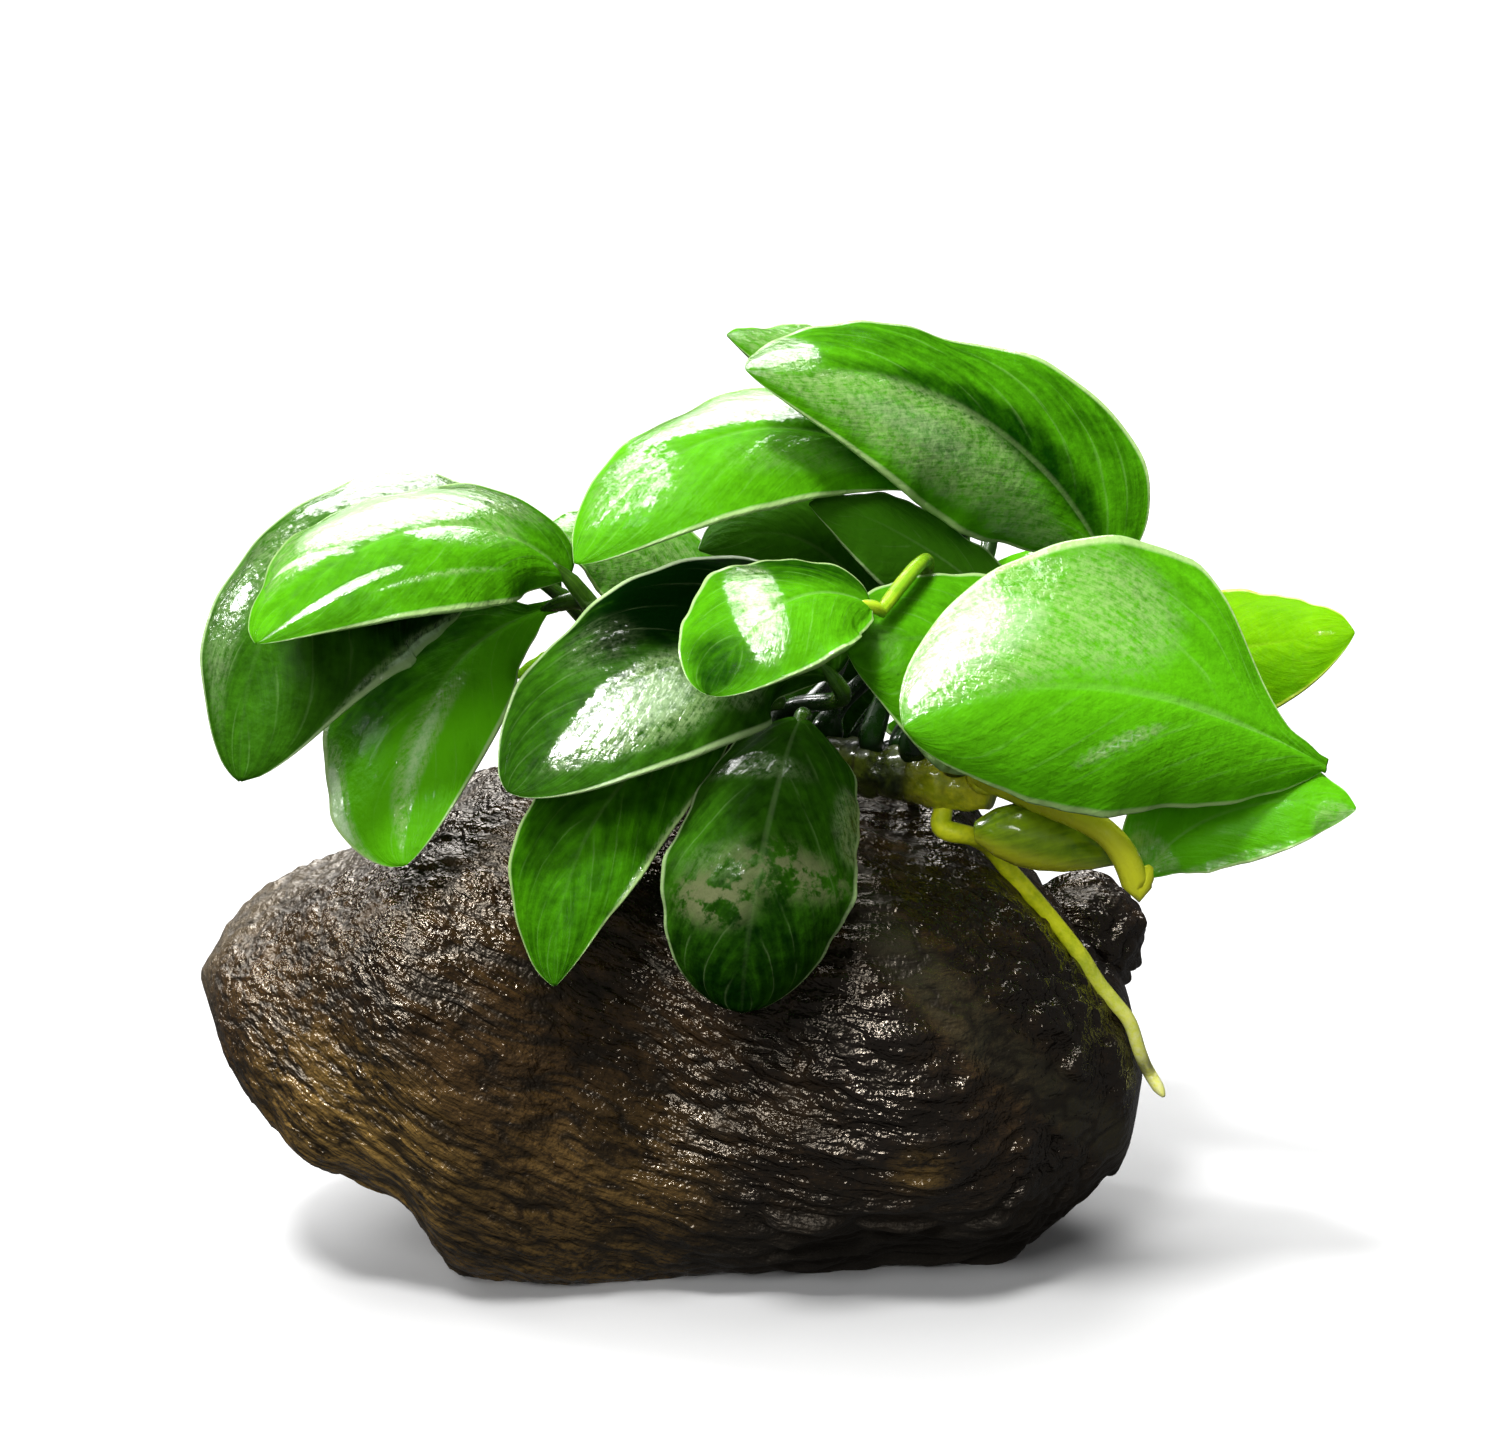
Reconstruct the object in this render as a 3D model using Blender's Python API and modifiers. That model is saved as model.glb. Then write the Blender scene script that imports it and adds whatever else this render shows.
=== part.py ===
"""Anubias grown on a chunk of driftwood.

A low water plant holds on to the top of a dark, wet chunk of driftwood. Its creeping rhizome lies
along the ridge of the wood, thick leaf stalks rise from it, and each one carries a stiff, glossy,
egg-shaped leaf that arches over and hangs toward its tip. Roots run from the rhizome over the wood.
Lengths in the tables are millimetres and are scaled to metres where a shape is made. X runs along
the wood, -Y is the front, +Z is up, and the origin is the middle of the flat the wood rests on.
"""

import math
from collections import namedtuple

import bmesh
import bpy
import numpy as np

MM = 0.001

# Colours, as linear red, green and blue.
WOOD_BROWN = (0.045, 0.024, 0.010)
LEAF_GREEN = (0.030, 0.190, 0.012)
LEAF_DARK = (0.010, 0.060, 0.010)
LEAF_YOUNG = (0.180, 0.420, 0.010)
STALK_GREEN = (0.120, 0.230, 0.015)
STALK_YELLOW = (0.420, 0.480, 0.020)
RHIZOME_OLIVE = (0.140, 0.150, 0.015)
BUD_OLIVE = (0.110, 0.170, 0.012)
ROOT_CREAM = (0.600, 0.620, 0.140)

# Driving dimensions of the plant: the space between two pieces that touch, the leaf blades, the leaf
# stalks, the creeping rhizome's middle line and radius, and the half-rolled bud at its growing end.
GAP = 0.3
LEAF_THICKNESS = 0.7
LEAF_ROWS = 8
LEAF_COLUMNS = 6
BLADE_NECK = 0.9
BLADE_TIP = 0.15
STALK_RADIUS = 1.15
STALK_SIDES = 6
STALK_STEPS = 5
STALK_STRAIGHT = 1.2
STALK_HEAD_GAP = 0.5
STALK_FOOT_GAP = 0.6
RHIZOME = ((-21, 3, 66.5), (-5, 2, 67), (12, -4, 66), (31, -12, 64))
RHIZOME_RADIUS = 3.8
RHIZOME_RINGS = (0.55, 0.9, 1, 0.93, 1, 0.93, 1, 0.93, 0.95, 0.7)
BUD = ((28.5, -18.5, 60.5), (33, -19.5, 61), (39.5, -19, 59.5), (46, -19, 56.5))
BUD_RADII = (1.4, 2.9, 3.7, 3.8, 3.2, 2.0, 0.4)

# Driving dimensions of the wood. Each station holds a distance along the wood and the heights of its
# top and bottom and the depths of its front and back there.
WOOD_STATIONS = (
    (-72.3, 37, 37, -3, -3),
    (-69, 42, 28, -12, 8),
    (-60, 49, 16, -22, 17),
    (-50, 55, 10, -28, 23),
    (-44.5, 58, 6, -31, 26),
    (-39, 61.5, -4, -32, 29),
    (-30, 63, -5, -32, 30),
    (-20, 61.5, -5, -30, 31),
    (0, 61, -5, -29, 32),
    (15, 60, -5, -30, 31),
    (27, 54, -4, -29, 29),
    (38, 46, 2, -23, 25),
    (46, 38, 8, -15, 18),
    (50.5, 31, 14, -8, 10),
    (52.3, 23, 23, 0, 0),
)
WOOD_RINGS = 28
WOOD_SPOKES = 34
WOOD_ROUNDNESS = 2.4
KNOB_CENTRE = (44.5, 12, 37.5)
KNOB_RADIUS = 8.6

# Each root: the share of the rhizome's length and the angle around it where it starts, its radius at
# the start and at the end, and its way over the wood as distance along it, angle around it and
# height above its surface. Angles run from the back over the top to the front.
ROOTS = {
    "root_long": (
        0.9, 255, 1.3, 0.8,
        ((28.5, 109, 2.6), (31.5, 105, 1), (35.5, 108, 0.6), (40, 114, 0.2), (44, 122, 0.2),
         (47, 129, 0.4), (49.5, 138, 1.2), (52, 165, 3.2), (54.2, 190, 6.4)),
    ),
    "root_back_left": (
        0.15, -35, 1.1, 0.6,
        ((-17, 72, 0.8), (-20, 58, 0.6), (-24, 45, 0.6), (-28, 33, 0.6), (-31, 21, 0.6), (-34, 8, 0.4)),
    ),
    "root_back_middle": (
        0.45, -35, 1.2, 0.6,
        ((2, 72, 0.8), (5, 57, 0.6), (8, 44, 0.6), (6, 30, 0.6), (5, 16, 0.6), (8, 3, 0.4)),
    ),
    "root_back_right": (
        0.8, -35, 1.1, 0.6,
        ((23, 72, 0.8), (27, 58, 0.6), (29, 46, 0.6), (28, 34, 0.6), (27, 22, 0.4)),
    ),
}

# One half of a leaf: its share of the leaf's half-width, the powers of the outline at the base and at
# the tip, the slope at the midrib and the change of slope to the margin, both in degrees, and how far
# along the leaf a narrow neck reaches before the half widens.
Half = namedtuple(
    "Half", "share base_power tip_power slope curl neck", defaults=(1.0, 0.55, 0.8, 0, -40, 0)
)

# A leaf: the midrib's base, two handles and tip; the way its upper face looks; the half-width of a
# half whose share is 1; the half on the left and on the right, seen from the base along the upper
# face; its colour; where its stalk starts on the rhizome, as the share of the rhizome's length and
# the angle around it from the back over the top; the stalk's colour; and the two handles of the
# stalk's curve, where it goes a longer way round.
Leaf = namedtuple(
    "Leaf",
    "midrib facing half_width left right colour station turn stalk_colour bend",
    defaults=(STALK_GREEN, None),
)

LEAVES = {
    "far_left": Leaf(
        ((-25, 6, 86), (-40, 0, 100.5), (-65, -9, 101), (-64, -20, 67.5)),
        (-0.25, -0.75, 0.6), 15,
        Half(1.25, 1.0, 0.6, 0, -30, 0.24), Half(0.95, 0.6, 0.65, 0, -45),
        LEAF_DARK, 0.06, 55,
    ),
    "left_upper": Leaf(
        ((-23, -8, 91), (-32.5, -12, 104), (-51, -22, 100.5), (-60, -32, 88)),
        (-0.2, -0.55, 0.8), 14,
        Half(1.0, 0.8, 0.8, 10, -50), Half(1.25, 0.55, 0.75, 0, -45),
        LEAF_GREEN, 0.15, 115,
    ),
    "left_lower": Leaf(
        ((-25, -1, 86), (-36.5, 1, 82.5), (-44.5, -15, 77), (-43, -27, 58.5)),
        (-0.4, -0.75, 0.5), 13,
        Half(0.75, 1.1, 0.75), Half(1.35, 0.8, 0.6, 0, -30, 0.24),
        LEAF_GREEN, 0.03, 100,
    ),
    "centre": Leaf(
        ((10.5, -10, 78.5), (2.5, -12, 90.5), (-16, -24, 85.5), (-29.5, -33, 69.5)),
        (-0.25, -0.75, 0.6), 14,
        Half(1.0, 0.7, 0.6, 0, -25), Half(1.25, 0.55, 0.65),
        LEAF_DARK, 0.5, 90,
    ),
    "centre_low": Leaf(
        ((1, -12, 75.5), (-11, -17, 75), (-24.5, -31, 65.5), (-24, -37, 46)),
        (-0.3, -0.8, 0.5), 12,
        Half(0.75, 1.0, 0.8), Half(1.1, 0.55, 0.7),
        LEAF_GREEN, 0.36, 130,
    ),
    "centre_oval": Leaf(
        ((6.5, -13, 74), (5, -24, 75.5), (-0.5, -45, 61), (-1, -40, 43.5)),
        (0, -0.85, 0.5), 14,
        Half(1.0, 0.5, 0.4, 0, -60), Half(1.0, 0.7, 0.38, 0, -60),
        LEAF_DARK, 0.55, 140,
    ),
    "centre_small": Leaf(
        ((15, -24, 91), (8.5, -28, 96), (0, -36, 94), (-5, -42, 84)),
        (-0.1, -0.6, 0.8), 10,
        Half(1.0, 0.7, 0.6, 5, -30), Half(1.2, 0.6, 0.6, 0, -30),
        LEAF_GREEN, 0.72, 100, STALK_YELLOW, ((22, 1, 88), (27, -7, 101)),
    ),
    "top_left": Leaf(
        ((25, 2, 99.5), (12.5, 1, 112), (-10, -10, 115.5), (-21.5, -23, 96)),
        (-0.2, -0.55, 0.8), 14,
        Half(0.95, 1.1, 0.7, 10, -45), Half(1.0, 0.55, 0.8),
        LEAF_GREEN, 0.78, 45, STALK_GREEN, ((26, 10, 78), (30, 16, 92)),
    ),
    "top": Leaf(
        ((46.5, 4, 89.5), (39, 5, 107.5), (19, -2, 119.5), (-0.5, -13, 118.5)),
        (-0.25, -0.55, 0.8), 19,
        Half(0.8, 0.8, 0.75, 0, -60), Half(1.0, 0.55, 0.75, 0, -30),
        LEAF_GREEN, 0.86, 60,
    ),
    "right_front": Leaf(
        ((72, -24, 70.5), (60, -30, 78.5), (37.5, -36, 89.5), (18.5, -40, 79.5)),
        (0.15, -0.75, 0.65), 20,
        Half(0.8, 0.9, 0.6, 0, -60), Half(1.24, 0.5, 0.72, 0, -20, 0.36),
        LEAF_GREEN, 0.97, 70, STALK_GREEN, ((42, -6, 72), (76, -16, 62)),
    ),
    "right_back": Leaf(
        ((51.5, 10, 73.5), (59, 8, 78), (70, 4, 80), (78.2, 0, 82)),
        (0.25, -0.75, 0.6), 10,
        Half(1.0, 0.55, 0.8, 0, -30), Half(1.0, 0.55, 0.8, 0, -30),
        LEAF_YOUNG, 0.9, 20,
    ),
    "right_under": Leaf(
        ((42.5, -12, 74.5), (34, -16, 84.5), (21, -22, 88.5), (12, -26, 85.5)),
        (-0.1, -0.75, 0.6), 13,
        Half(1.3, 0.6, 0.55), Half(1.0, 0.55, 0.7),
        LEAF_GREEN, 0.92, 110,
    ),
    "right_low": Leaf(
        ((49, -26, 56.5), (54, -26, 66), (66, -27.5, 68.5), (75, -28, 66)),
        (0.1, -0.75, 0.65), 10,
        Half(1.0, 0.55, 0.8, 0, -30), Half(0.7, 0.8, 0.8, 0, -30),
        LEAF_GREEN, 1.0, 120, STALK_YELLOW, ((37, -24, 67), (42.5, -27, 65)),
    ),
    "shaded_top": Leaf(
        ((33.5, 2, 84.5), (26, 0, 91.5), (16.5, -4, 99), (7.5, -8, 100.5)),
        (-0.2, -0.7, 0.6), 11,
        Half(0.7), Half(0.55),
        LEAF_DARK, 0.82, 95,
    ),
    "shaded_middle": Leaf(
        ((17, 10, 81.5), (13, 10, 89.5), (5, 6, 98), (-6.5, -0.5, 93)),
        (-0.2, -0.7, 0.6), 10,
        Half(), Half(),
        LEAF_DARK, 0.6, 60,
    ),
    "shaded_low": Leaf(
        ((2, 14, 69), (6, 18, 73), (13, 19.5, 72.5), (20, 18, 68)),
        (-0.1, -0.85, 0.5), 7,
        Half(), Half(),
        LEAF_DARK, 0.38, 12,
    ),
    "behind_top": Leaf(
        ((28.5, 32, 97.5), (20.5, 32, 107), (9.5, 26, 115), (-3, 18, 118)),
        (-0.2, -0.6, 0.75), 11,
        Half(), Half(),
        LEAF_GREEN, 0.68, 35,
    ),
    "behind_left": Leaf(
        ((-4, 26, 75), (-9.5, 26, 86), (-20, 22, 92.5), (-27, 16, 91)),
        (-0.2, -0.7, 0.65), 9,
        Half(), Half(),
        LEAF_GREEN, 0.3, 30,
    ),
    "young": Leaf(
        ((-12, 11, 75), (-18, 11, 78), (-25, 10, 78), (-31.5, 8, 74)),
        (-0.4, -0.5, 0.75), 3.5,
        Half(), Half(),
        LEAF_YOUNG, 0.2, 70, STALK_YELLOW,
    ),
    "back_low_left": Leaf(
        ((-12, 20, 70), (-17, 30, 76), (-20, 42, 68), (-19, 44, 52)),
        (-0.2, 0.8, 0.5), 11,
        Half(), Half(),
        LEAF_GREEN, 0.2, 20,
    ),
    "back_middle": Leaf(
        ((12, 18, 78), (11, 28, 90), (7, 42, 90), (5, 48, 78)),
        (-0.2, 0.7, 0.6), 12,
        Half(), Half(),
        LEAF_GREEN, 0.5, 30,
    ),
    "back_right": Leaf(
        ((31.5, 18, 78), (36.5, 28, 90), (44.5, 38, 89), (50.5, 44, 77)),
        (0.3, 0.6, 0.7), 12,
        Half(), Half(),
        LEAF_GREEN, 0.84, 25,
    ),
    "back_low_right": Leaf(
        ((22, 20, 66), (27, 30, 70), (34, 42, 64), (36, 46, 48)),
        (0.2, 0.8, 0.5), 11,
        Half(), Half(),
        LEAF_GREEN, 0.74, 10,
    ),
}


def unit(vectors):
    """The vectors, each divided by its length."""
    return vectors / np.maximum(np.linalg.norm(vectors, axis=-1, keepdims=True), 1e-9)


def bezier(points, t):
    """Points and directions on the cubic curve of four control points."""
    a, b, c, d = (np.array(point, float) for point in points)
    t = np.asarray(t, float)[:, None]
    place = (1 - t) ** 3 * a + 3 * (1 - t) ** 2 * t * b + 3 * (1 - t) * t**2 * c + t**3 * d
    along = (1 - t) ** 2 * (b - a) + 2 * (1 - t) * t * (c - b) + t**2 * (d - c)
    return place, unit(along)


def smooth_curve(x, stations, values):
    """Values between stations, joined with cubic pieces whose slopes follow the neighbours."""
    slopes = np.gradient(values, stations)
    index = np.clip(np.searchsorted(stations, x) - 1, 0, len(stations) - 2)
    width = stations[index + 1] - stations[index]
    s = np.clip((x - stations[index]) / width, 0, 1)
    start = (1 + 2 * s) * (1 - s) ** 2 * values[index] + s * (1 - s) ** 2 * width * slopes[index]
    end = s**2 * (3 - 2 * s) * values[index + 1] + s**2 * (s - 1) * width * slopes[index + 1]
    return start + end


def material(name, colour, roughness):
    """A plain Principled material."""
    made = bpy.data.materials.new(name)
    made.use_nodes = True
    shader = made.node_tree.nodes["Principled BSDF"]
    shader.inputs["Base Color"].default_value = (*colour, 1)
    shader.inputs["Roughness"].default_value = roughness
    shader.inputs["Metallic"].default_value = 0
    return made


def add_object(name, data, collection, colour, roughness):
    """An object for the data, with its own material."""
    made = bpy.data.objects.new(name, data)
    data.materials.append(material(name, colour, roughness))
    collection.objects.link(made)
    return made


def add_tube(name, points, radii, sides, collection, colour):
    """A tube along the points, with a radius at each and filled ends."""
    curve = bpy.data.curves.new(name, "CURVE")
    curve.dimensions = "3D"
    curve.bevel_depth = MM
    curve.bevel_resolution = (sides - 4) // 2
    curve.use_fill_caps = True
    spline = curve.splines.new("POLY")
    spline.points.add(len(points) - 1)
    for knot, point, radius in zip(spline.points, points, radii):
        knot.co = (*(np.array(point) * MM), 1)
        knot.radius = radius
    return add_object(name, curve, collection, colour, 0.4)


def wood_point(x, angle, height=0):
    """Points at a height above the wood, for distances along it and angles around it.

    Round the middle line, the section is a rounded box whose top, bottom, front and back come from
    the stations. Broad waves, a rise behind the rhizome, a hollow down the front, a swelling beside
    it and an undercut along the foot are added to its radius.
    """
    stations = np.array(WOOD_STATIONS)
    top, bottom, front, back = (
        smooth_curve(x, stations[:, 0], stations[:, column]) for column in range(1, 5)
    )
    middle_y, middle_z = (front + back) / 2, (top + bottom) / 2
    way_y, way_z = np.cos(angle), np.sin(angle)
    half_depth = np.maximum((back - front) / 2, 0.01)
    half_height = np.maximum((top - bottom) / 2, 0.01)
    box = np.abs(way_y / half_depth) ** WOOD_ROUNDNESS + np.abs(way_z / half_height) ** WOOD_ROUNDNESS
    radius = box ** (-1 / WOOD_ROUNDNESS)
    z = middle_z + radius * way_z
    front_share = np.clip(-way_y, 0, 1)
    hollow = np.exp(-(((x + 14 - 0.45 * (40 - z)) / 9) ** 2)) * np.exp(-(((z - 32) / 22) ** 2))
    swelling = np.exp(-(((x - 22) / 16) ** 2)) * np.exp(-(((z - 27) / 12) ** 2))
    undercut = np.exp(-(((x - 22) / 26) ** 2)) * np.exp(-(((z - 2) / 7) ** 2))
    waves = 1.2 * np.sin(0.11 * x + 2 * angle + 0.7) + 0.8 * np.sin(0.21 * x - 3 * angle)
    share = (x - stations[0, 0]) / (stations[-1, 0] - stations[0, 0])
    away_from_ends = np.clip(10 * share * (1 - share), 0, 1)
    rise = np.exp(-(((x - 24) / 12) ** 2)) * np.exp(-(((angle - 1.1) / 0.5) ** 2))
    relief = waves + 6 * rise + front_share * (2.5 * swelling - 4 * hollow - 4 * undercut)
    radius = radius + away_from_ends * relief + height
    return np.stack((x, middle_y + radius * way_y, middle_z + radius * way_z), -1)


def add_wood(collection, cutters):
    """The driftwood: a ball whose poles are the wood's ends, moved to the wood's form, cut flat
    where it rests, and joined with its knob."""
    ball = bmesh.new()
    bmesh.ops.create_uvsphere(ball, u_segments=WOOD_SPOKES, v_segments=WOOD_RINGS, radius=1)
    around = np.array([vertex.co[:] for vertex in ball.verts])
    left, right = WOOD_STATIONS[0][0], WOOD_STATIONS[-1][0]
    x = left + (right - left) * (1 + np.clip(around[:, 2], -1, 1)) / 2
    angle = np.arctan2(around[:, 1], around[:, 0])
    for vertex, point in zip(ball.verts, wood_point(x, angle) * MM):
        vertex.co = point
    everything = ball.verts[:] + ball.edges[:] + ball.faces[:]
    cut = bmesh.ops.bisect_plane(
        ball, geom=everything, plane_co=(0, 0, 0), plane_no=(0, 0, -1), clear_outer=True
    )
    rim = [item for item in cut["geom_cut"] if isinstance(item, bmesh.types.BMEdge)]
    bmesh.ops.contextual_create(ball, geom=rim)
    bmesh.ops.recalc_face_normals(ball, faces=ball.faces)
    mesh = bpy.data.meshes.new("driftwood")
    ball.to_mesh(mesh)
    ball.free()
    wood = add_object("driftwood", mesh, collection, WOOD_BROWN, 0.45)
    sphere = bmesh.new()
    bmesh.ops.create_uvsphere(sphere, u_segments=16, v_segments=10, radius=KNOB_RADIUS * MM)
    bmesh.ops.translate(sphere, verts=sphere.verts, vec=[value * MM for value in KNOB_CENTRE])
    knob_mesh = bpy.data.meshes.new("knob")
    sphere.to_mesh(knob_mesh)
    sphere.free()
    knob = bpy.data.objects.new("knob", knob_mesh)
    knob.hide_render = True
    knob.display_type = "WIRE"
    cutters.objects.link(knob)
    join = wood.modifiers.new("Knob", "BOOLEAN")
    join.operation = "UNION"
    join.solver = "EXACT"
    join.object = knob
    mesh.shade_smooth()
    knob_mesh.shade_smooth()
    return wood


def rhizome_side(share, turn):
    """The middle line at a share of the rhizome's length, and the way out from it at an angle
    around it, which runs from the back over the top to the front."""
    place, along = bezier(RHIZOME, [share])
    level = unit(np.cross(along[0], (0, 0, 1)))
    angle = math.radians(turn)
    return place[0], -math.cos(angle) * level + math.sin(angle) * np.cross(level, along[0])


def add_rhizome(collection):
    """The rhizome: a thick creeping stem with the rings of old leaves."""
    points, _ = bezier(RHIZOME, np.linspace(0, 1, len(RHIZOME_RINGS)))
    radii = RHIZOME_RADIUS * np.array(RHIZOME_RINGS)
    return add_tube("rhizome", points, radii, 8, collection, RHIZOME_OLIVE)


def add_bud(collection):
    """The bud: a spindle of half-rolled young leaf at the rhizome's growing end."""
    points, _ = bezier(BUD, np.linspace(0, 1, len(BUD_RADII)))
    return add_tube("bud", points, BUD_RADII, 8, collection, BUD_OLIVE)


def add_root(name, root, collection):
    """A root: from under the rhizome's side down onto the wood, then over its surface."""
    station, turn, start_radius, end_radius, way = root
    place, outward = rhizome_side(station, turn)
    foot = place + outward * (RHIZOME_RADIUS + GAP)
    x, angle, height = np.array(way, float).T
    over = wood_point(x, np.radians(angle), height + start_radius + GAP)
    points = np.vstack((foot, foot + outward * start_radius, over))
    radii = np.linspace(start_radius, end_radius, len(points))
    return add_tube(name, points, radii, 6, collection, ROOT_CREAM)


def half_width(leaf, half, t):
    """Half-width of the blade at t: a power of t at the base times a power of 1 - t at the tip."""
    peak = half.base_power / (half.base_power + half.tip_power)
    top = peak**half.base_power * (1 - peak) ** half.tip_power
    shape = t**half.base_power * (1 - t) ** half.tip_power / top
    if half.neck:
        share = np.clip(t / half.neck, 0, 1)
        shape = shape * (0.1 + 0.9 * (share * share * (3 - 2 * share)) ** 3)
    return np.maximum(leaf.half_width * half.share * shape, BLADE_NECK * (1 - t) + BLADE_TIP)


def blade_point(leaf, t, q):
    """Points of the blade: t runs from base to tip, q from -1 at the left margin to 1 at the right."""
    place, along = bezier(leaf.midrib, t)
    facing = unit(np.array(leaf.facing, float))
    upward = unit(facing - (along @ facing)[:, None] * along)
    sideways = np.cross(along, upward)
    across = np.zeros(len(t))
    rise = np.zeros(len(t))
    for half, mask in ((leaf.left, q < 0), (leaf.right, q >= 0)):
        reach = np.abs(q) * half_width(leaf, half, t)
        steps = (np.arange(12) + 0.5) / 12 * np.abs(q)[:, None]
        slope = np.radians(half.slope + half.curl * steps)
        across += mask * np.sign(q) * reach * np.cos(slope).mean(1)
        rise += mask * reach * np.sin(slope).mean(1)
    return place + across[:, None] * sideways + rise[:, None] * upward


def add_blade(name, leaf, collection):
    """A leaf blade: a grid bent to the blade's form, with a wall."""
    grid = bmesh.new()
    bmesh.ops.create_grid(grid, x_segments=LEAF_ROWS, y_segments=LEAF_COLUMNS, size=1)
    flat = np.array([vertex.co[:] for vertex in grid.verts])
    t = (1 - np.cos(math.pi * (flat[:, 0] + 1) / 2)) / 2
    points = blade_point(leaf, t, flat[:, 1]) * MM
    for vertex, point in zip(grid.verts, points):
        vertex.co = point
    mesh = bpy.data.meshes.new(name)
    grid.to_mesh(mesh)
    grid.free()
    blade = add_object(name, mesh, collection, leaf.colour, 0.3)
    wall = blade.modifiers.new("Wall", "SOLIDIFY")
    wall.thickness = LEAF_THICKNESS * MM
    wall.offset = 0
    mesh.shade_smooth()
    return blade


def add_stalk(name, leaf, collection):
    """A leaf stalk: from the side of the rhizome, up, and over into the base of the blade."""
    place, outward = rhizome_side(leaf.station, leaf.turn)
    foot = place + outward * (RHIZOME_RADIUS + STALK_FOOT_GAP)
    base, blade_way = bezier(leaf.midrib, [0])
    head = base[0] - blade_way[0] * STALK_HEAD_GAP
    neck = head - blade_way[0] * STALK_STRAIGHT
    span = np.linalg.norm(neck - foot)
    handles = leaf.bend or (foot + outward * (0.35 * span), neck - blade_way[0] * (0.35 * span))
    points, _ = bezier((foot, *handles, neck), np.linspace(0, 1, STALK_STEPS))
    points = np.vstack((points, head))
    radii = np.linspace(STALK_RADIUS * 1.15, STALK_RADIUS * 0.85, len(points))
    return add_tube(name, points, radii, STALK_SIDES, collection, leaf.stalk_colour)


def build():
    for old in list(bpy.data.objects):
        bpy.data.objects.remove(old, do_unlink=True)
    plant = bpy.data.collections.new("anubias_on_driftwood")
    cutters = bpy.data.collections.new("cutters")
    cutters.hide_render = True
    bpy.context.scene.collection.children.link(plant)
    bpy.context.scene.collection.children.link(cutters)
    add_wood(plant, cutters)
    add_rhizome(plant)
    add_bud(plant)
    for name, root in ROOTS.items():
        add_root(name, root, plant)
    for name, leaf in LEAVES.items():
        add_blade("leaf_" + name, leaf, plant)
        add_stalk("stalk_" + name, leaf, plant)


build()
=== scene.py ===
import math
from collections import namedtuple

import bpy
import numpy as np
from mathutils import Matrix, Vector


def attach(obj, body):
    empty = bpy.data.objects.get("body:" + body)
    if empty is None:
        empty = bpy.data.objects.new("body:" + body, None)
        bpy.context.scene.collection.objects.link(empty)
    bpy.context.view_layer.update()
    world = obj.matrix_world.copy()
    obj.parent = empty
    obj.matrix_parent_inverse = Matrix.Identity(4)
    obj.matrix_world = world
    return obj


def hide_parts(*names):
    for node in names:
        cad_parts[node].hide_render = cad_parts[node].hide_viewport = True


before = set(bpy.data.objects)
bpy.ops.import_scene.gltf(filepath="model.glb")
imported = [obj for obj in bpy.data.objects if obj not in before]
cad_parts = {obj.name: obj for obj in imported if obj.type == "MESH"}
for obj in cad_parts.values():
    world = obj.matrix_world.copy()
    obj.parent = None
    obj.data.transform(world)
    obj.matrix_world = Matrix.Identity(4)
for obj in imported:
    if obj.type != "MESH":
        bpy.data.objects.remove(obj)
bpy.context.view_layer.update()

MM = 0.001


# Leaf blades
#
# Twenty-three thick, stiff, egg-shaped blades with a pointed tip, 20 to 66 mm long. Each arches
# over and droops, its two halves bend down from the midrib, and its margin is a pale, rounded rim.

BLADE_NECK = 0.9
BLADE_TIP = 0.15
BLADE_ROWS = 84
BLADE_COLUMNS = 41
RIM_STEPS = 5
RIM_SHARE = 0.028
HALF_THICKNESS = 0.22
GROOVE_DEPTH = 0.35
RIB_HEIGHT = 0.7
FOLD_HEIGHT = 0.22
VEIN_COUNT = 9
VEIN_LEAN = 0.45
VEIN_STAGGER = 0.02

# One half of a blade: its share of the half-width, the powers of the outline at the base and at the
# tip, the slope at the midrib and its change to the margin in degrees, and the length of its neck.
Half = namedtuple(
    "Half", "share base_power tip_power slope curl neck", defaults=(1.0, 0.55, 0.8, 0, -40, 0)
)

# A leaf: midrib, the way the upper face looks, half-width, the halves on the left and on the right
# seen from the base, the finish, where its stalk starts on the rhizome, and the stalk's finish and
# handles. Then its looks: how bright its green is, where it is wet, where painted shade darkens it
# and where it is stained by algae, as patches, how high its cushions and margin waves are, how
# thick its left margin is rolled, how bright its stalk is, as painted light and shade, its foot
# darkened when low, how thick its stalk is, and how far the stalk's head is tucked under the blade.
# Strong wet patches also paint a pale sheen and glare into the colour, as painted highlights.
Leaf = namedtuple(
    "Leaf",
    "midrib facing half_width left right finish station turn stalk_finish bend"
    " tone wet shade stain veins waves roll stalk_tone stalk_girth tuck",
    defaults=("stalk", None, 0.5, None, (), (), 0.10, 0.4, 0.0, 0.0, 1.0, 0.0),
)

# A patch on a blade: the place of its middle along and across, its reach both ways, how strong it
# is, and how far it leans along the blade from the midrib to the right margin.
Patch = namedtuple("Patch", "t q reach_t reach_q strength lean", defaults=(0,))
# Wet patches; strong ones also paint a pale sheen and glare into the colour as painted highlights.
WET_AND_SHEEN_AT_THE_BACK = (Patch(0.5, 0.35, 0.28, 0.5, 0.9), Patch(0.7, -0.4, 0.25, 0.3, 0.5))
WET_AND_SHEEN_IN_SHADE = (Patch(0.2, 0.0, 0.1, 0.3, 0.3),)
WET_AND_SHEEN_BEHIND = (Patch(0.6, 0.0, 0.5, 1.0, 1.2),)

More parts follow.
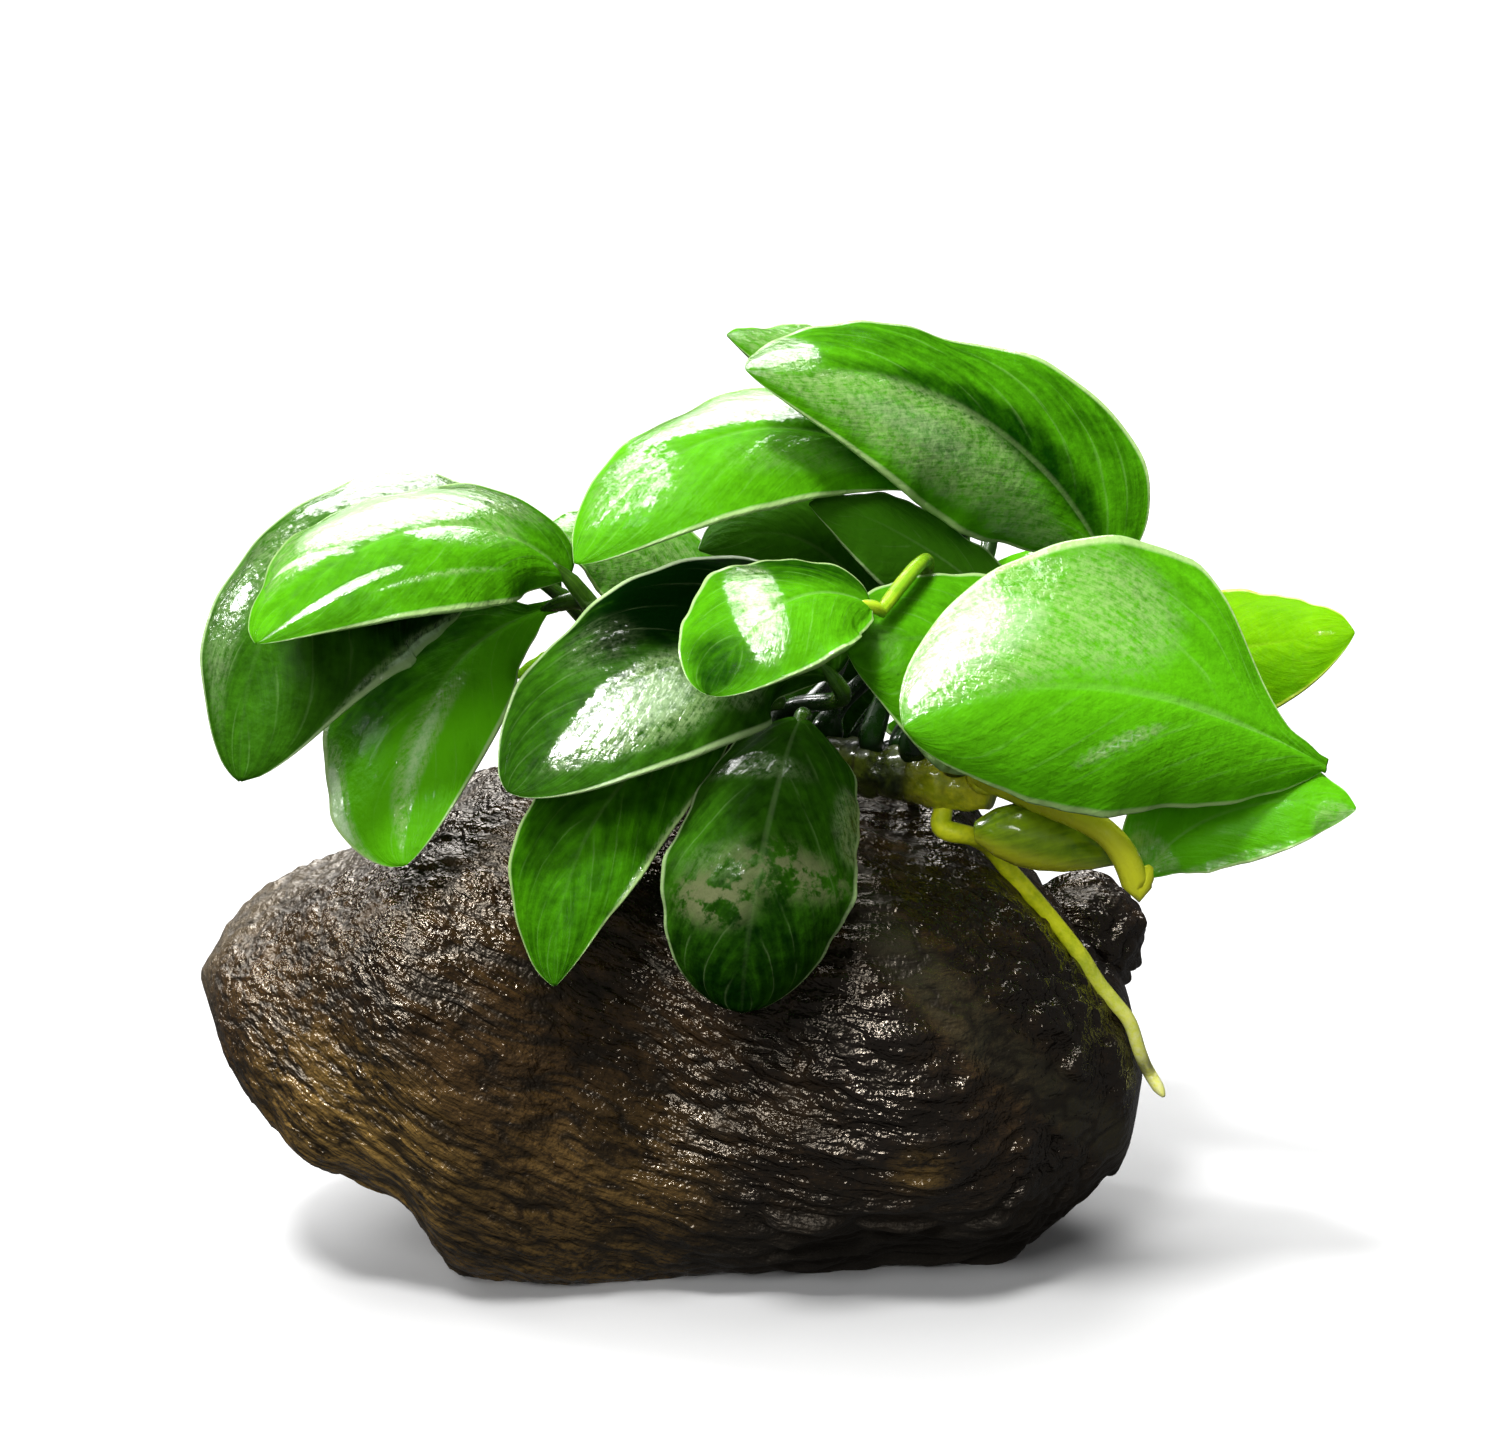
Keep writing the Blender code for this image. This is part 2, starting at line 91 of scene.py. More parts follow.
LEAVES = {
    "far_left": Leaf(
        ((-25, 6, 86), (-40, 0, 100.5), (-65, -9, 101), (-64, -20, 67.5)),
        (-0.25, -0.75, 0.6), 15,
        Half(1.25, 1.0, 0.6, 0, -30, 0.24), Half(0.95, 0.6, 0.65, 0, -45),
        "leaf_dark", 0.06, 55,
        tone=0.5, roll=0.3,
        wet=(
            Patch(0.72, 0.6, 0.24, 0.4, 0.62),
            Patch(0.38, 0.75, 0.2, 0.4, 0.75),
            Patch(0.5, -0.95, 0.4, 0.1, 1.7),
        ),
        shade=(Patch(0.35, -0.6, 0.3, 0.6, -0.3),),
    ),
    "left_upper": Leaf(
        ((-23, -8, 91), (-32.5, -12, 104), (-51, -22, 100.5), (-60, -32, 88)),
        (-0.2, -0.55, 0.8), 14,
        Half(1.0, 0.8, 0.8, 10, -50), Half(1.25, 0.55, 0.75, 0, -45),
        "leaf", 0.15, 115,
        tone=0.66, veins=0.2,
        wet=(
            Patch(0.5, 0.55, 0.36, 0.5, 1.6),
            Patch(0.36, 0.05, 0.2, 0.4, 0.8),
            Patch(0.765, 0.38, 0.022, 0.36, 2.0, 0.245),
            Patch(0.82, -0.43, 0.20, 0.06, 2.0),
            Patch(0.5, -0.62, 0.25, 0.05, 0.8),
        ),
        shade=(Patch(0.15, 0.6, 0.2, 0.6, -0.3),),
    ),
    "left_lower": Leaf(
        ((-25, -1, 86), (-36.5, 1, 82.5), (-44.5, -15, 77), (-43, -27, 58.5)),
        (-0.4, -0.75, 0.5), 13,
        Half(0.75, 1.1, 0.75), Half(1.35, 0.8, 0.6, 0, -30, 0.24),
        "leaf", 0.03, 100,
        tone=0.92, veins=0.15,
        wet=(
            Patch(0.72, -0.08, 0.22, 0.24, 1.4, 0.5),
            Patch(0.82, 0.9, 0.15, 0.2, 1.7),
        ),
        shade=(Patch(0.35, 0.6, 0.38, 0.6, -0.7),),
    ),
    "centre": Leaf(
        ((10.5, -10, 78.5), (2.5, -12, 90.5), (-16, -24, 85.5), (-29.5, -33, 69.5)),
        (-0.25, -0.75, 0.6), 14,
        Half(1.0, 0.7, 0.6, 0, -25), Half(1.25, 0.55, 0.65),
        "leaf_dark", 0.5, 90,
        tone=0.42,
        wet=(
            Patch(0.68, -0.33, 0.24, 0.42, 1.4),
            Patch(0.66, 0.45, 0.12, 0.45, 0.4),
            Patch(0.42, -0.6, 0.12, 0.2, 0.7),
        ),
        shade=(Patch(0.45, 0.6, 0.22, 0.6, -0.5), Patch(0.9, 0.2, 0.15, 0.6, -0.1)),
    ),
    "centre_low": Leaf(
        ((1, -12, 75.5), (-11, -17, 75), (-24.5, -31, 65.5), (-24, -37, 46)),
        (-0.3, -0.8, 0.5), 12,
        Half(0.75, 1.0, 0.8), Half(1.1, 0.55, 0.7),
        "leaf", 0.36, 130,
        tone=0.38,
        wet=(
            Patch(0.6, -0.97, 0.35, 0.08, 1.0),
            Patch(0.65, 0.3, 0.3, 0.7, 0.22),
        ),
    ),
    "centre_oval": Leaf(
        ((6.5, -13, 74), (5, -24, 75.5), (-0.5, -45, 61), (-1, -40, 43.5)),
        (0, -0.85, 0.5), 14,
        Half(1.0, 0.5, 0.4, 0, -60), Half(1.0, 0.7, 0.38, 0, -60),
        "leaf_dark", 0.55, 140,
        tone=0.42,
        wet=(
            Patch(0.4, -0.85, 0.14, 0.28, 1.1),
            Patch(0.33, 0.3, 0.06, 0.7, 0.62),
            Patch(0.63, 0.35, 0.07, 0.6, 0.42),
        ),
        shade=(Patch(0.9, 0.0, 0.3, 1.0, -0.25),),
        stain=(Patch(0.62, -0.3, 0.07, 0.6, 0.8), Patch(0.72, 0.4, 0.07, 0.4, 0.9)),
    ),
    "centre_small": Leaf(
        ((15, -24, 91), (8.5, -28, 96), (0, -36, 94), (-5, -42, 84)),
        (-0.1, -0.6, 0.8), 10,
        Half(1.0, 0.7, 0.6, 5, -30), Half(1.2, 0.6, 0.6, 0, -30),
        "leaf", 0.72, 100, "stalk_yellow", ((22, 1, 88), (27, -7, 101)),
        tone=0.7, veins=0.05, roll=0.6, stalk_tone=0.0, stalk_girth=0.8,
        wet=(Patch(0.60, 0.15, 0.12, 0.8, 1.4, -0.22),),
        shade=(Patch(0.22, 0.7, 0.30, 0.6, -0.55), Patch(0.9, 0.1, 0.14, 0.7, -0.45)),
    ),
    "top_left": Leaf(
        ((25, 2, 99.5), (12.5, 1, 112), (-10, -10, 115.5), (-21.5, -23, 96)),
        (-0.2, -0.55, 0.8), 14,
        Half(0.95, 1.1, 0.7, 10, -45), Half(1.0, 0.55, 0.8),
        "leaf", 0.78, 45, "stalk", ((26, 10, 78), (30, 16, 92)),
        tone=0.75, veins=0.2,
        wet=(
            Patch(0.48, 0.62, 0.26, 0.5, 1.5),
            Patch(0.82, 0.2, 0.14, 0.8, 0.65),
            Patch(0.4, -0.4, 0.3, 0.35, 0.5),
        ),
    ),
    "top": Leaf(
        ((46.5, 4, 89.5), (39, 5, 107.5), (19, -2, 119.5), (-0.5, -13, 118.5)),
        (-0.25, -0.55, 0.8), 19,
        Half(0.8, 0.8, 0.75, 0, -60), Half(1.0, 0.55, 0.75, 0, -30),
        "leaf", 0.86, 60,
        tone=0.6, waves=0.6,
        wet=(
            Patch(0.62, -0.42, 0.42, 0.42, 1.3),
            Patch(0.92, 0.5, 0.1, 0.8, 1.1),
            Patch(0.2, -0.6, 0.2, 0.3, 0.8),
        ),
        shade=(Patch(0.38, 0.08, 0.4, 0.2, -0.45), Patch(0.5, 0.7, 0.5, 0.4, -0.2)),
    ),
    "right_front": Leaf(
        ((72, -24, 70.5), (60, -30, 78.5), (37.5, -36, 89.5), (18.5, -40, 79.5)),
        (0.15, -0.75, 0.65), 20,
        Half(0.8, 0.9, 0.6, 0, -60), Half(1.24, 0.5, 0.72, 0, -20, 0.36),
        "leaf", 0.97, 70, "stalk", ((42, -6, 72), (72, -13, 62)),
        tone=0.85, waves=0.5, tuck=3.0,
        wet=(
            Patch(0.83, 0.52, 0.28, 0.52, 1.42),
            Patch(0.58, 0.5, 0.18, 0.45, 0.95),
            Patch(0.55, -0.42, 0.03, 0.2, 1.5, -0.5),
        ),
        shade=(Patch(0.4, 0.8, 0.3, 0.4, -0.2),),
    ),
    "right_back": Leaf(
        ((51.5, 10, 73.5), (59, 8, 78), (70, 4, 80), (78.2, 0, 82)),
        (0.25, -0.75, 0.6), 10,
        Half(1.0, 0.55, 0.8, 0, -30), Half(1.0, 0.55, 0.8, 0, -30),
        "leaf_young", 0.9, 20,
        tone=0.6,
        wet=(Patch(0.86, -0.1, 0.06, 0.08, 0.9),),
        shade=(Patch(0.6, 0.6, 0.5, 0.5, -0.25),),
    ),
    "right_under": Leaf(
        ((42.5, -12, 74.5), (34, -16, 84.5), (21, -22, 88.5), (12, -26, 85.5)),
        (-0.1, -0.75, 0.6), 13,
        Half(1.3, 0.6, 0.55), Half(1.0, 0.55, 0.7),
        "leaf", 0.92, 110,
        tone=0.6,
        wet=(Patch(0.85, 0.0, 0.1, 0.5, 0.4),),
    ),
    "right_low": Leaf(
        ((49, -26, 56.5), (54, -26, 66), (66, -27.5, 68.5), (75, -28, 66)),
        (0.1, -0.75, 0.65), 10,
        Half(1.0, 0.55, 0.8, 0, -30), Half(0.7, 0.8, 0.8, 0, -30),
        "leaf", 1.0, 120, "stalk_yellow", ((36, -24, 63.8), (46, -28, 67)),
        tone=0.95, stalk_tone=1.0, stalk_girth=1.5,
        wet=(
            Patch(0.1, 0.0, 0.08, 0.9, 0.9),
            Patch(0.92, 0.5, 0.12, 0.7, 0.75),
            Patch(0.4, 0.9, 0.4, 0.15, 0.7),
        ),
        shade=(Patch(0.5, -0.7, 0.4, 0.5, -0.3),),
    ),
    "shaded_top": Leaf(
        ((33.5, 2, 84.5), (26, 0, 91.5), (16.5, -4, 99), (7.5, -8, 100.5)),
        (-0.2, -0.7, 0.6), 11,
        Half(0.7), Half(0.55),
        "leaf_dark", 0.82, 95,
        tone=1.0,
        wet=WET_AND_SHEEN_IN_SHADE,
    ),
    "shaded_middle": Leaf(
        ((17, 10, 81.5), (13, 10, 89.5), (5, 6, 98), (-6.5, -0.5, 93)),
        (-0.2, -0.7, 0.6), 10,
        Half(), Half(),
        "leaf_dark", 0.6, 60,
        tone=0.8,
        wet=WET_AND_SHEEN_IN_SHADE,
    ),
    "shaded_low": Leaf(
        ((2, 14, 69), (6, 18, 73), (13, 19.5, 72.5), (20, 18, 68)),
        (-0.1, -0.85, 0.5), 7,
        Half(1.1), Half(1.6),
        "leaf_dark", 0.38, 12,
        tone=0.4,
        wet=WET_AND_SHEEN_IN_SHADE,
    ),
    "behind_top": Leaf(
        ((28.5, 32, 97.5), (20.5, 32, 107), (9.5, 26, 115), (-3, 18, 118)),
        (-0.2, -0.6, 0.75), 11,
        Half(), Half(),
        "leaf", 0.68, 35,
        tone=0.7,
        wet=WET_AND_SHEEN_BEHIND,
    ),
    "behind_left": Leaf(
        ((-4, 26, 75), (-9.5, 26, 86), (-20, 22, 92.5), (-27, 16, 91)),
        (-0.2, -0.7, 0.65), 9,
        Half(), Half(),
        "leaf", 0.3, 30,
        tone=0.6,
        wet=WET_AND_SHEEN_BEHIND,
    ),
    "young": Leaf(
        ((-12, 11, 75), (-18, 11, 78), (-25, 10, 78), (-31.5, 8, 74)),
        (-0.4, -0.5, 0.75), 3.5,
        Half(), Half(),
        "leaf_young", 0.2, 70, "stalk_yellow",
        tone=0.9, stalk_tone=0.8,
        wet=(Patch(0.5, 0.3, 0.1, 0.3, 0.6),),
    ),
    "back_low_left": Leaf(
        ((-12, 20, 70), (-17, 30, 76), (-20, 42, 68), (-19, 44, 52)),
        (-0.2, 0.8, 0.5), 11,
        Half(), Half(),
        "leaf", 0.2, 20,
        tone=0.5,
    ),
    "back_middle": Leaf(
        ((12, 18, 78), (11, 28, 90), (7, 42, 90), (5, 48, 78)),
        (-0.2, 0.7, 0.6), 12,
        Half(), Half(),
        "leaf", 0.5, 30,
        tone=0.6,
    ),
    "back_right": Leaf(
        ((31.5, 18, 78), (36.5, 28, 90), (44.5, 38, 89), (50.5, 44, 77)),
        (0.3, 0.6, 0.7), 12,
        Half(), Half(),
        "leaf", 0.84, 25,
        tone=0.7,
    ),
    "back_low_right": Leaf(
        ((22, 20, 66), (27, 30, 70), (34, 42, 64), (36, 46, 48)),
        (0.2, 0.8, 0.5), 11,
        Half(), Half(),
        "leaf", 0.74, 10,
        tone=0.45,
    ),
}


def unit(vectors):
    """The vectors, each divided by its length."""
    return vectors / np.maximum(np.linalg.norm(vectors, axis=-1, keepdims=True), 1e-9)


def bezier(points, t):
    """Points and directions on the cubic curve of four control points."""
    a, b, c, d = (np.array(point, float) for point in points)
    t = np.asarray(t, float)[..., None]
    place = (1 - t) ** 3 * a + 3 * (1 - t) ** 2 * t * b + 3 * (1 - t) * t**2 * c + t**3 * d
    along = (1 - t) ** 2 * (b - a) + 2 * (1 - t) * t * (c - b) + t**2 * (d - c)
    return place, unit(along)


def half_width(leaf, half, t):
    """Half-width of the blade at t: a power of t at the base times a power of 1 - t at the tip."""
    peak = half.base_power / (half.base_power + half.tip_power)
    top = peak**half.base_power * (1 - peak) ** half.tip_power
    shape = t**half.base_power * (1 - t) ** half.tip_power / top
    if half.neck:
        share = np.clip(t / half.neck, 0, 1)
        shape = shape * (0.1 + 0.9 * (share * share * (3 - 2 * share)) ** 3)
    return np.maximum(leaf.half_width * half.share * shape, BLADE_NECK * (1 - t) + BLADE_TIP)


def blade_point(leaf, t, q):
    """Points of the blade's middle layer, and its width there.

    t runs from base to tip along a cubic curve, and q from -1 at the left margin to 1 at the right.
    Each half is an arc whose slope grows evenly from the midrib to the margin.
    """
    place, along = bezier(leaf.midrib, t)
    facing = unit(np.array(leaf.facing, float))
    upward = unit(facing - (along @ facing)[..., None] * along)
    sideways = np.cross(along, upward)
    across, rise, width = np.zeros(t.shape), np.zeros(t.shape), np.zeros(t.shape)
    for half, mask in ((leaf.left, q < 0), (leaf.right, q >= 0)):
        half_reach = half_width(leaf, half, t)
        reach = np.abs(q) * half_reach
        steps = (np.arange(12) + 0.5) / 12 * np.abs(q)[..., None]
        slope = np.radians(half.slope + half.curl * steps)
        across += mask * np.sign(q) * reach * np.cos(slope).mean(-1)
        rise += mask * reach * np.sin(slope).mean(-1)
        width += mask * half_reach
    return place + across[..., None] * sideways + rise[..., None] * upward, width


def blade_normal(leaf, t, q):
    """The way out of the blade's upper face: the cross product of steps along and across it."""
    step = 0.004
    ahead, _ = blade_point(leaf, np.clip(t + step, 0, 1), q)
    behind, _ = blade_point(leaf, np.clip(t - step, 0, 1), q)
    right, _ = blade_point(leaf, t, np.clip(q + 2 * step, -1, 1))
    left, _ = blade_point(leaf, t, np.clip(q - 2 * step, -1, 1))
    return unit(np.cross(right - left, ahead - behind))


def add_skin(name, rings, layers, collection):
    """A closed mesh over rings of points in mm, with a pole at each end and values at its points.

    Rings follow each other along the first axis, and points follow round a ring along the second.
    """
    rows, sides = rings.shape[:2]
    points = np.vstack((rings.reshape(-1, 3), rings[0].mean(0), rings[-1].mean(0)))
    row, side = np.meshgrid(np.arange(rows - 1), np.arange(sides), indexing="ij")
    first, second = row * sides + side, row * sides + (side + 1) % sides
    quads = np.stack((first, second, second + sides, first + sides), -1).reshape(-1, 4)
    side = np.arange(sides)
    start = np.stack((np.full(sides, rows * sides), (side + 1) % sides, side), -1)
    last = (rows - 1) * sides
    end = np.stack((np.full(sides, rows * sides + 1), last + side, last + (side + 1) % sides), -1)
    corners = points[quads]
    normals = np.cross(corners[:, 2] - corners[:, 0], corners[:, 3] - corners[:, 1])
    if ((corners.mean(1) - points.mean(0)) * normals).sum() < 0:
        quads, start, end = quads[:, ::-1], start[:, ::-1], end[:, ::-1]
    mesh = bpy.data.meshes.new(name)
    faces = quads.tolist() + start.tolist() + end.tolist()
    mesh.from_pydata((points * MM).tolist(), [], faces)
    for layer, values in layers.items():
        flat = values.reshape(-1, 3)
        flat = np.vstack((flat, values[0].mean(0), values[-1].mean(0)))
        made = mesh.attributes.new(layer, "FLOAT_VECTOR", "POINT")
        made.data.foreach_set("vector", flat.astype(np.float32).ravel())
    mesh.shade_smooth()
    mesh.update()
    made = bpy.data.objects.new(name, mesh)
    collection.objects.link(made)
    return made


def waviness(points, wavelengths, seed):
    """A smooth random relief: sines over the points in turned directions, one set a wavelength."""
    spin = np.random.default_rng(seed)
    total = np.zeros(points.shape[:-1])
    for wavelength in wavelengths:
        ways = unit(spin.normal(size=(6, 3)))
        phases = spin.uniform(0, 2 * np.pi, 6)
        waves = np.sin(points @ ways.T * (2 * np.pi / wavelength) + phases)
        total += waves.mean(-1) * wavelength / wavelengths[0]
    return total


def patch_strength(patch, t, q):
    """A flat-topped patch: its strength times e to the minus fourth power of the distance from its
    middle, with each way's distance counted in its reach."""
    along = (t - patch.t - patch.lean * (q - patch.q)) / patch.reach_t
    across = (q - patch.q) / patch.reach_q
    return patch.strength * np.exp(-((along**2 + across**2) ** 2))


def blade_rings(leaf, seed):
    """The blade's upper and lower face and rim as closed rings, with their values.

    The middle layer is moved out along its normal: by half the thickness, the midrib's groove above
    and rib below, arched cushions between the side veins, soft folds, and waves that grow toward
    the margin.
    """
    s = np.linspace(0, 1, BLADE_ROWS)
    t = 0.5 * s + 0.25 * (1 - np.cos(np.pi * s))
    even = np.linspace(-1, 1, BLADE_COLUMNS)
    face = (1 - RIM_SHARE) * np.sign(even) * np.abs(even) ** 1.3
    angles = np.radians(np.linspace(72, -72, RIM_STEPS))
    rim = 1 - RIM_SHARE + RIM_SHARE * np.cos(angles)
    q = np.concatenate((face, rim, face[::-1], -rim[::-1]))
    lift = np.concatenate(
        (np.ones(BLADE_COLUMNS), np.sin(angles), -np.ones(BLADE_COLUMNS), np.sin(angles[::-1]))
    )
    t, q = np.meshgrid(t, q, indexing="ij")
    lift = np.broadcast_to(lift, t.shape)
    middle, width = blade_point(leaf, t, q)
    normal = blade_normal(leaf, t, q)
    across = q * width
    inner = np.clip(1 - np.abs(q), 0, 1) * np.clip(4 * np.abs(q), 0, 1)
    vein = t - VEIN_LEAN * np.abs(q) ** 1.2 + VEIN_STAGGER * np.sign(q)
    cushions = leaf.veins * inner * (np.abs(np.sin(VEIN_COUNT * np.pi * vein)) - 0.6)
    groove = -GROOVE_DEPTH * np.exp(-((across / 0.6) ** 2)) * (1 - t)
    rib = RIB_HEIGHT * np.exp(-((across / 0.9) ** 2)) * (1 - t) ** 0.8
    edge = np.clip((np.abs(q) - 0.9) / 0.06, 0, 1)
    rolled = leaf.roll * (q < 0) * np.clip((np.abs(q) - 0.84) / 0.14, 0, 1)
    rolled = rolled * np.clip(2.4 - 2.6 * t, 0, 1)
    thickness = (HALF_THICKNESS + 0.16 * edge + rolled) * np.clip(width / 3, 0.4, 1)
    ends = np.clip(8 * t, 0, 1) * np.clip(6 * (1 - t), 0, 1)
    waves = leaf.waves * ends * np.abs(q) ** 3 * (
        np.sin(14 * t + 3 * np.sign(q) + seed)
        + 0.6 * np.sin(25 * t + 5 * seed)
        + 0.25 * np.sin(57 * t + 4 * np.sign(q) + 9 * seed)
    )
    top = (thickness + groove) * np.maximum(lift, 0) - (thickness + rib) * np.maximum(-lift, 0)
    folds = ends * FOLD_HEIGHT * waviness(middle, (15.0, 8.0), round(10 * seed))
    points = middle + (top + ends * cushions + folds + waves)[..., None] * normal
    blade = np.stack((t, q, lift), -1)
    # Wet patches, which also set where a sheen and glare are painted as highlights.
    wet = np.max([patch_strength(patch, t, q) for patch in leaf.wet or WET_AND_SHEEN_AT_THE_BACK], axis=0)
    # The tone adds the patches of painted shade to the leaf's own tone.
    tone = leaf.tone + sum(patch_strength(patch, t, q) for patch in leaf.shade)
    stain = 0 * t + sum(patch_strength(patch, t, q) for patch in leaf.stain)
    look = np.stack((np.broadcast_to(tone, t.shape), wet, stain), -1)
    return points, {"blade": blade, "look": look, "seed": np.full(look.shape, seed)}


class Shade:
    """An output in a material's nodes. Its operators add Math nodes, and node() adds any other."""

    def __init__(self, tree, socket=None):
        self.tree = tree
        self.socket = socket

    def node(self, kind, settings=(), inputs=(), output=0):
        """Any node: its type, its settings, the values or links of its sockets, and its output."""
        made = self.tree.nodes.new("ShaderNode" + kind)
        for name, value in dict(settings).items():
            setattr(made, name, value)
        for key, value in dict(inputs).items():
            if isinstance(value, Shade):
                self.tree.links.new(value.socket, made.inputs[key])
            else:
                made.inputs[key].default_value = value
        return Shade(self.tree, made.outputs[output])

    def math(self, operation, *values):
        """A Math node on numbers that vary over the surface."""
        return self.node("Math", {"operation": operation}, dict(enumerate(values)))

    def __add__(self, other):
        return self.math("ADD", self, other)

    def __sub__(self, other):
        return self.math("SUBTRACT", self, other)

    def __rsub__(self, other):
        return self.math("SUBTRACT", other, self)

    def __mul__(self, other):
        return self.math("MULTIPLY", self, other)

    def __pow__(self, other):
        return self.math("POWER", self, other)

    def __abs__(self):
        return self.math("ABSOLUTE", self)

    __radd__ = __add__
    __rmul__ = __mul__

    def most(self, other):
        """The larger of two values."""
        return self.math("MAXIMUM", self, other)

    def ramp(self, low, high, start=0.0, end=1.0):
        """A smooth step from start to end as this value goes from low to high."""
        settings = {"interpolation_type": "SMOOTHSTEP"}
        return self.node("MapRange", settings, {0: self, 1: low, 2: high, 3: start, 4: end})

    def between(self, colour, other):
        """The colour where this value is 0, and the other one where it is 1."""
        first, second = (c if isinstance(c, Shade) else (*c, 1) for c in (colour, other))
        return self.node("Mix", {"data_type": "RGBA"}, {0: self, 6: first, 7: second}, 2)

    def parts(self):
        """The X, Y and Z of this vector."""
        made = self.node("SeparateXYZ", inputs={0: self})
        outputs = made.socket.node.outputs
        return [Shade(self.tree, outputs[index]) for index in range(3)]

    def vector(self, x, y, z):
        """The vector of three values."""
        return self.node("CombineXYZ", inputs={0: x, 1: y, 2: z})

    def layer(self, name):
        """The three values that the mesh keeps at its points under this name."""
        return self.node("Attribute", {"attribute_name": name}, output="Vector").parts()

    def noise(self, scale, detail, roughness):
        """Noise between 0 and 1 over this vector."""
        inputs = {"Vector": self, "Scale": scale, "Detail": detail, "Roughness": roughness}
        return self.node("TexNoise", inputs=inputs)


def start_material(name):
    """A new material, its Principled shader, and a Shade to add nodes with."""
    made = bpy.data.materials.new(name)
    made.use_nodes = True
    return made, made.node_tree.nodes["Principled BSDF"], Shade(made.node_tree)


def finish_shader(shader, varying, fixed):
    """Links the varying inputs of a shader and sets the fixed ones."""
    for name, value in varying.items():
        value.tree.links.new(value.socket, shader.inputs[name])
    for name, value in fixed.items():
        shader.inputs[name].default_value = value


def leaf_material(name, dark, bright, pale, under, through):
    """Leaf skin: mottled green with faint side veins, a pale midrib and rim, and a glossy wet film.

    The film breaks up into specks at its edges, and the dull skin between them is deep green. Where
    the film is strong, a pale sheen and a pale glare are painted into the colour as highlights, and
    the rim's own pale green is lightened further as a painted highlight. pale is the colour of the
    veins, the rim and the painted sheen, under is the lower face's, and through is the share of the
    light that the blade lets through.
    """
    made, shader, new = start_material(name)
    place = new.node("TexCoord", output="Object")
    t, q, side = new.layer("blade")
    tone, film, stain = new.layer("look")
    seed, _, _ = new.layer("seed")
    reach = abs(q)
    upper = side.ramp(-0.2, 0.2)
    vein = t - VEIN_LEAN * reach**1.2 + VEIN_STAGGER * q.math("SIGN", q)
    streaks = new.vector(vein * 20, reach * 2.5, seed).noise(1.0, 4.0, 0.6)
    threads = new.vector(vein * 90, reach * 8, seed).noise(1.0, 3.0, 0.6)
    cell = vein * 7 + 0.5 * streaks
    side_vein = abs(cell.math("FRACT", cell) - 0.5).ramp(0.0, 0.07, 1.0, 0.0)
    side_vein = side_vein * reach.ramp(0.04, 0.2) * reach.ramp(0.6, 0.9, 1.0, 0.0)
    side_vein = side_vein * streaks.ramp(0.4, 0.6)
    midrib = reach.ramp(0.010, 0.040, 1.0, 0.0) * t.ramp(0.2, 0.9, 1.0, 0.1)
    rim = reach.ramp(0.920, 0.955)
    patches = place.noise(70.0, 3.0, 0.55)
    mottle = place.noise(420.0, 4.0, 0.65)
    specks = place.noise(1100.0, 4.0, 0.7)
    wrinkles = place.noise(850.0, 2.0, 0.5)
    level = tone + 0.5 * (patches - 0.5) + 0.5 * (streaks - 0.5) + 0.5 * (mottle - 0.5)
    green = level.ramp(0.0, 1.0).between(dark, bright)
    green = (0.10 * side_vein).between(green, pale)
    green = (0.15 * midrib).between(green, pale)
    ragged = 0.45 * specks + 0.3 * place.noise(260.0, 4.0, 0.65) + 0.25 * streaks
    # Painted sheen: the film pales the green in specks and threads, a painted reflection of the
    # lamps.
    painted_sheen = film.ramp(0.15, 0.95) * (0.65 * specks + 0.35 * threads).ramp(0.36, 0.62)
    # Painted glare: where the film is strongest the colour goes pale green-white, a painted
    # highlight.
    painted_glare = film.ramp(1.2, 1.6) * specks.ramp(0.30, 0.60, 0.5, 0.85)
    green = (0.45 * painted_sheen).between(green, pale)
    green = painted_glare.between(green, (0.60, 0.80, 0.48))
    green = (stain * mottle.ramp(0.42, 0.55)).between(green, (0.12, 0.13, 0.06))
    green = upper.between(under, green)
    # The rim: the margin's own paler green, lightened further as a painted highlight.
    colour = (0.8 * rim).between(green, pale)
    wet = (film + 1.7 * (ragged - 0.5)).ramp(0.42, 0.58) * upper
    shine = (wet * specks.ramp(0.30, 0.60, 0.50, 0.85)).most(0.03 * tone)
    shine = shine.most(0.7 * rim * tone.ramp(0.0, 0.6, 0.15, 1.0))
    height = 0.5 * streaks + 0.8 * wrinkles + 0.2 * threads + 0.15 * specks
    bump = new.node("Bump", inputs={"Strength": 1.0, "Distance": 0.00026, "Height": height})
    varying = {"Base Color": colour, "Roughness": 0.28 - 0.18 * wet, "Normal": bump}
    finish_shader(shader, varying, {"Specular IOR Level": 1.0, "Coat Weight": 0.6, "Coat IOR": 1.5})
    matt = {"Roughness": 1.0, "Specular IOR Level": 0.0}
    dull = new.node("BsdfPrincipled", inputs={"Base Color": colour, "Normal": bump, **matt})
    glow = new.node("BsdfTranslucent", inputs={"Color": (*bright, 1)})
    tree = made.node_tree
    skin = new.node("MixShader", inputs={0: shine, 1: dull, 2: Shade(tree, shader.outputs[0])})
    mixed = new.node("MixShader", inputs={0: through, 1: skin, 2: glow})
    tree.links.new(mixed.socket, tree.nodes["Material Output"].inputs["Surface"])
    return made


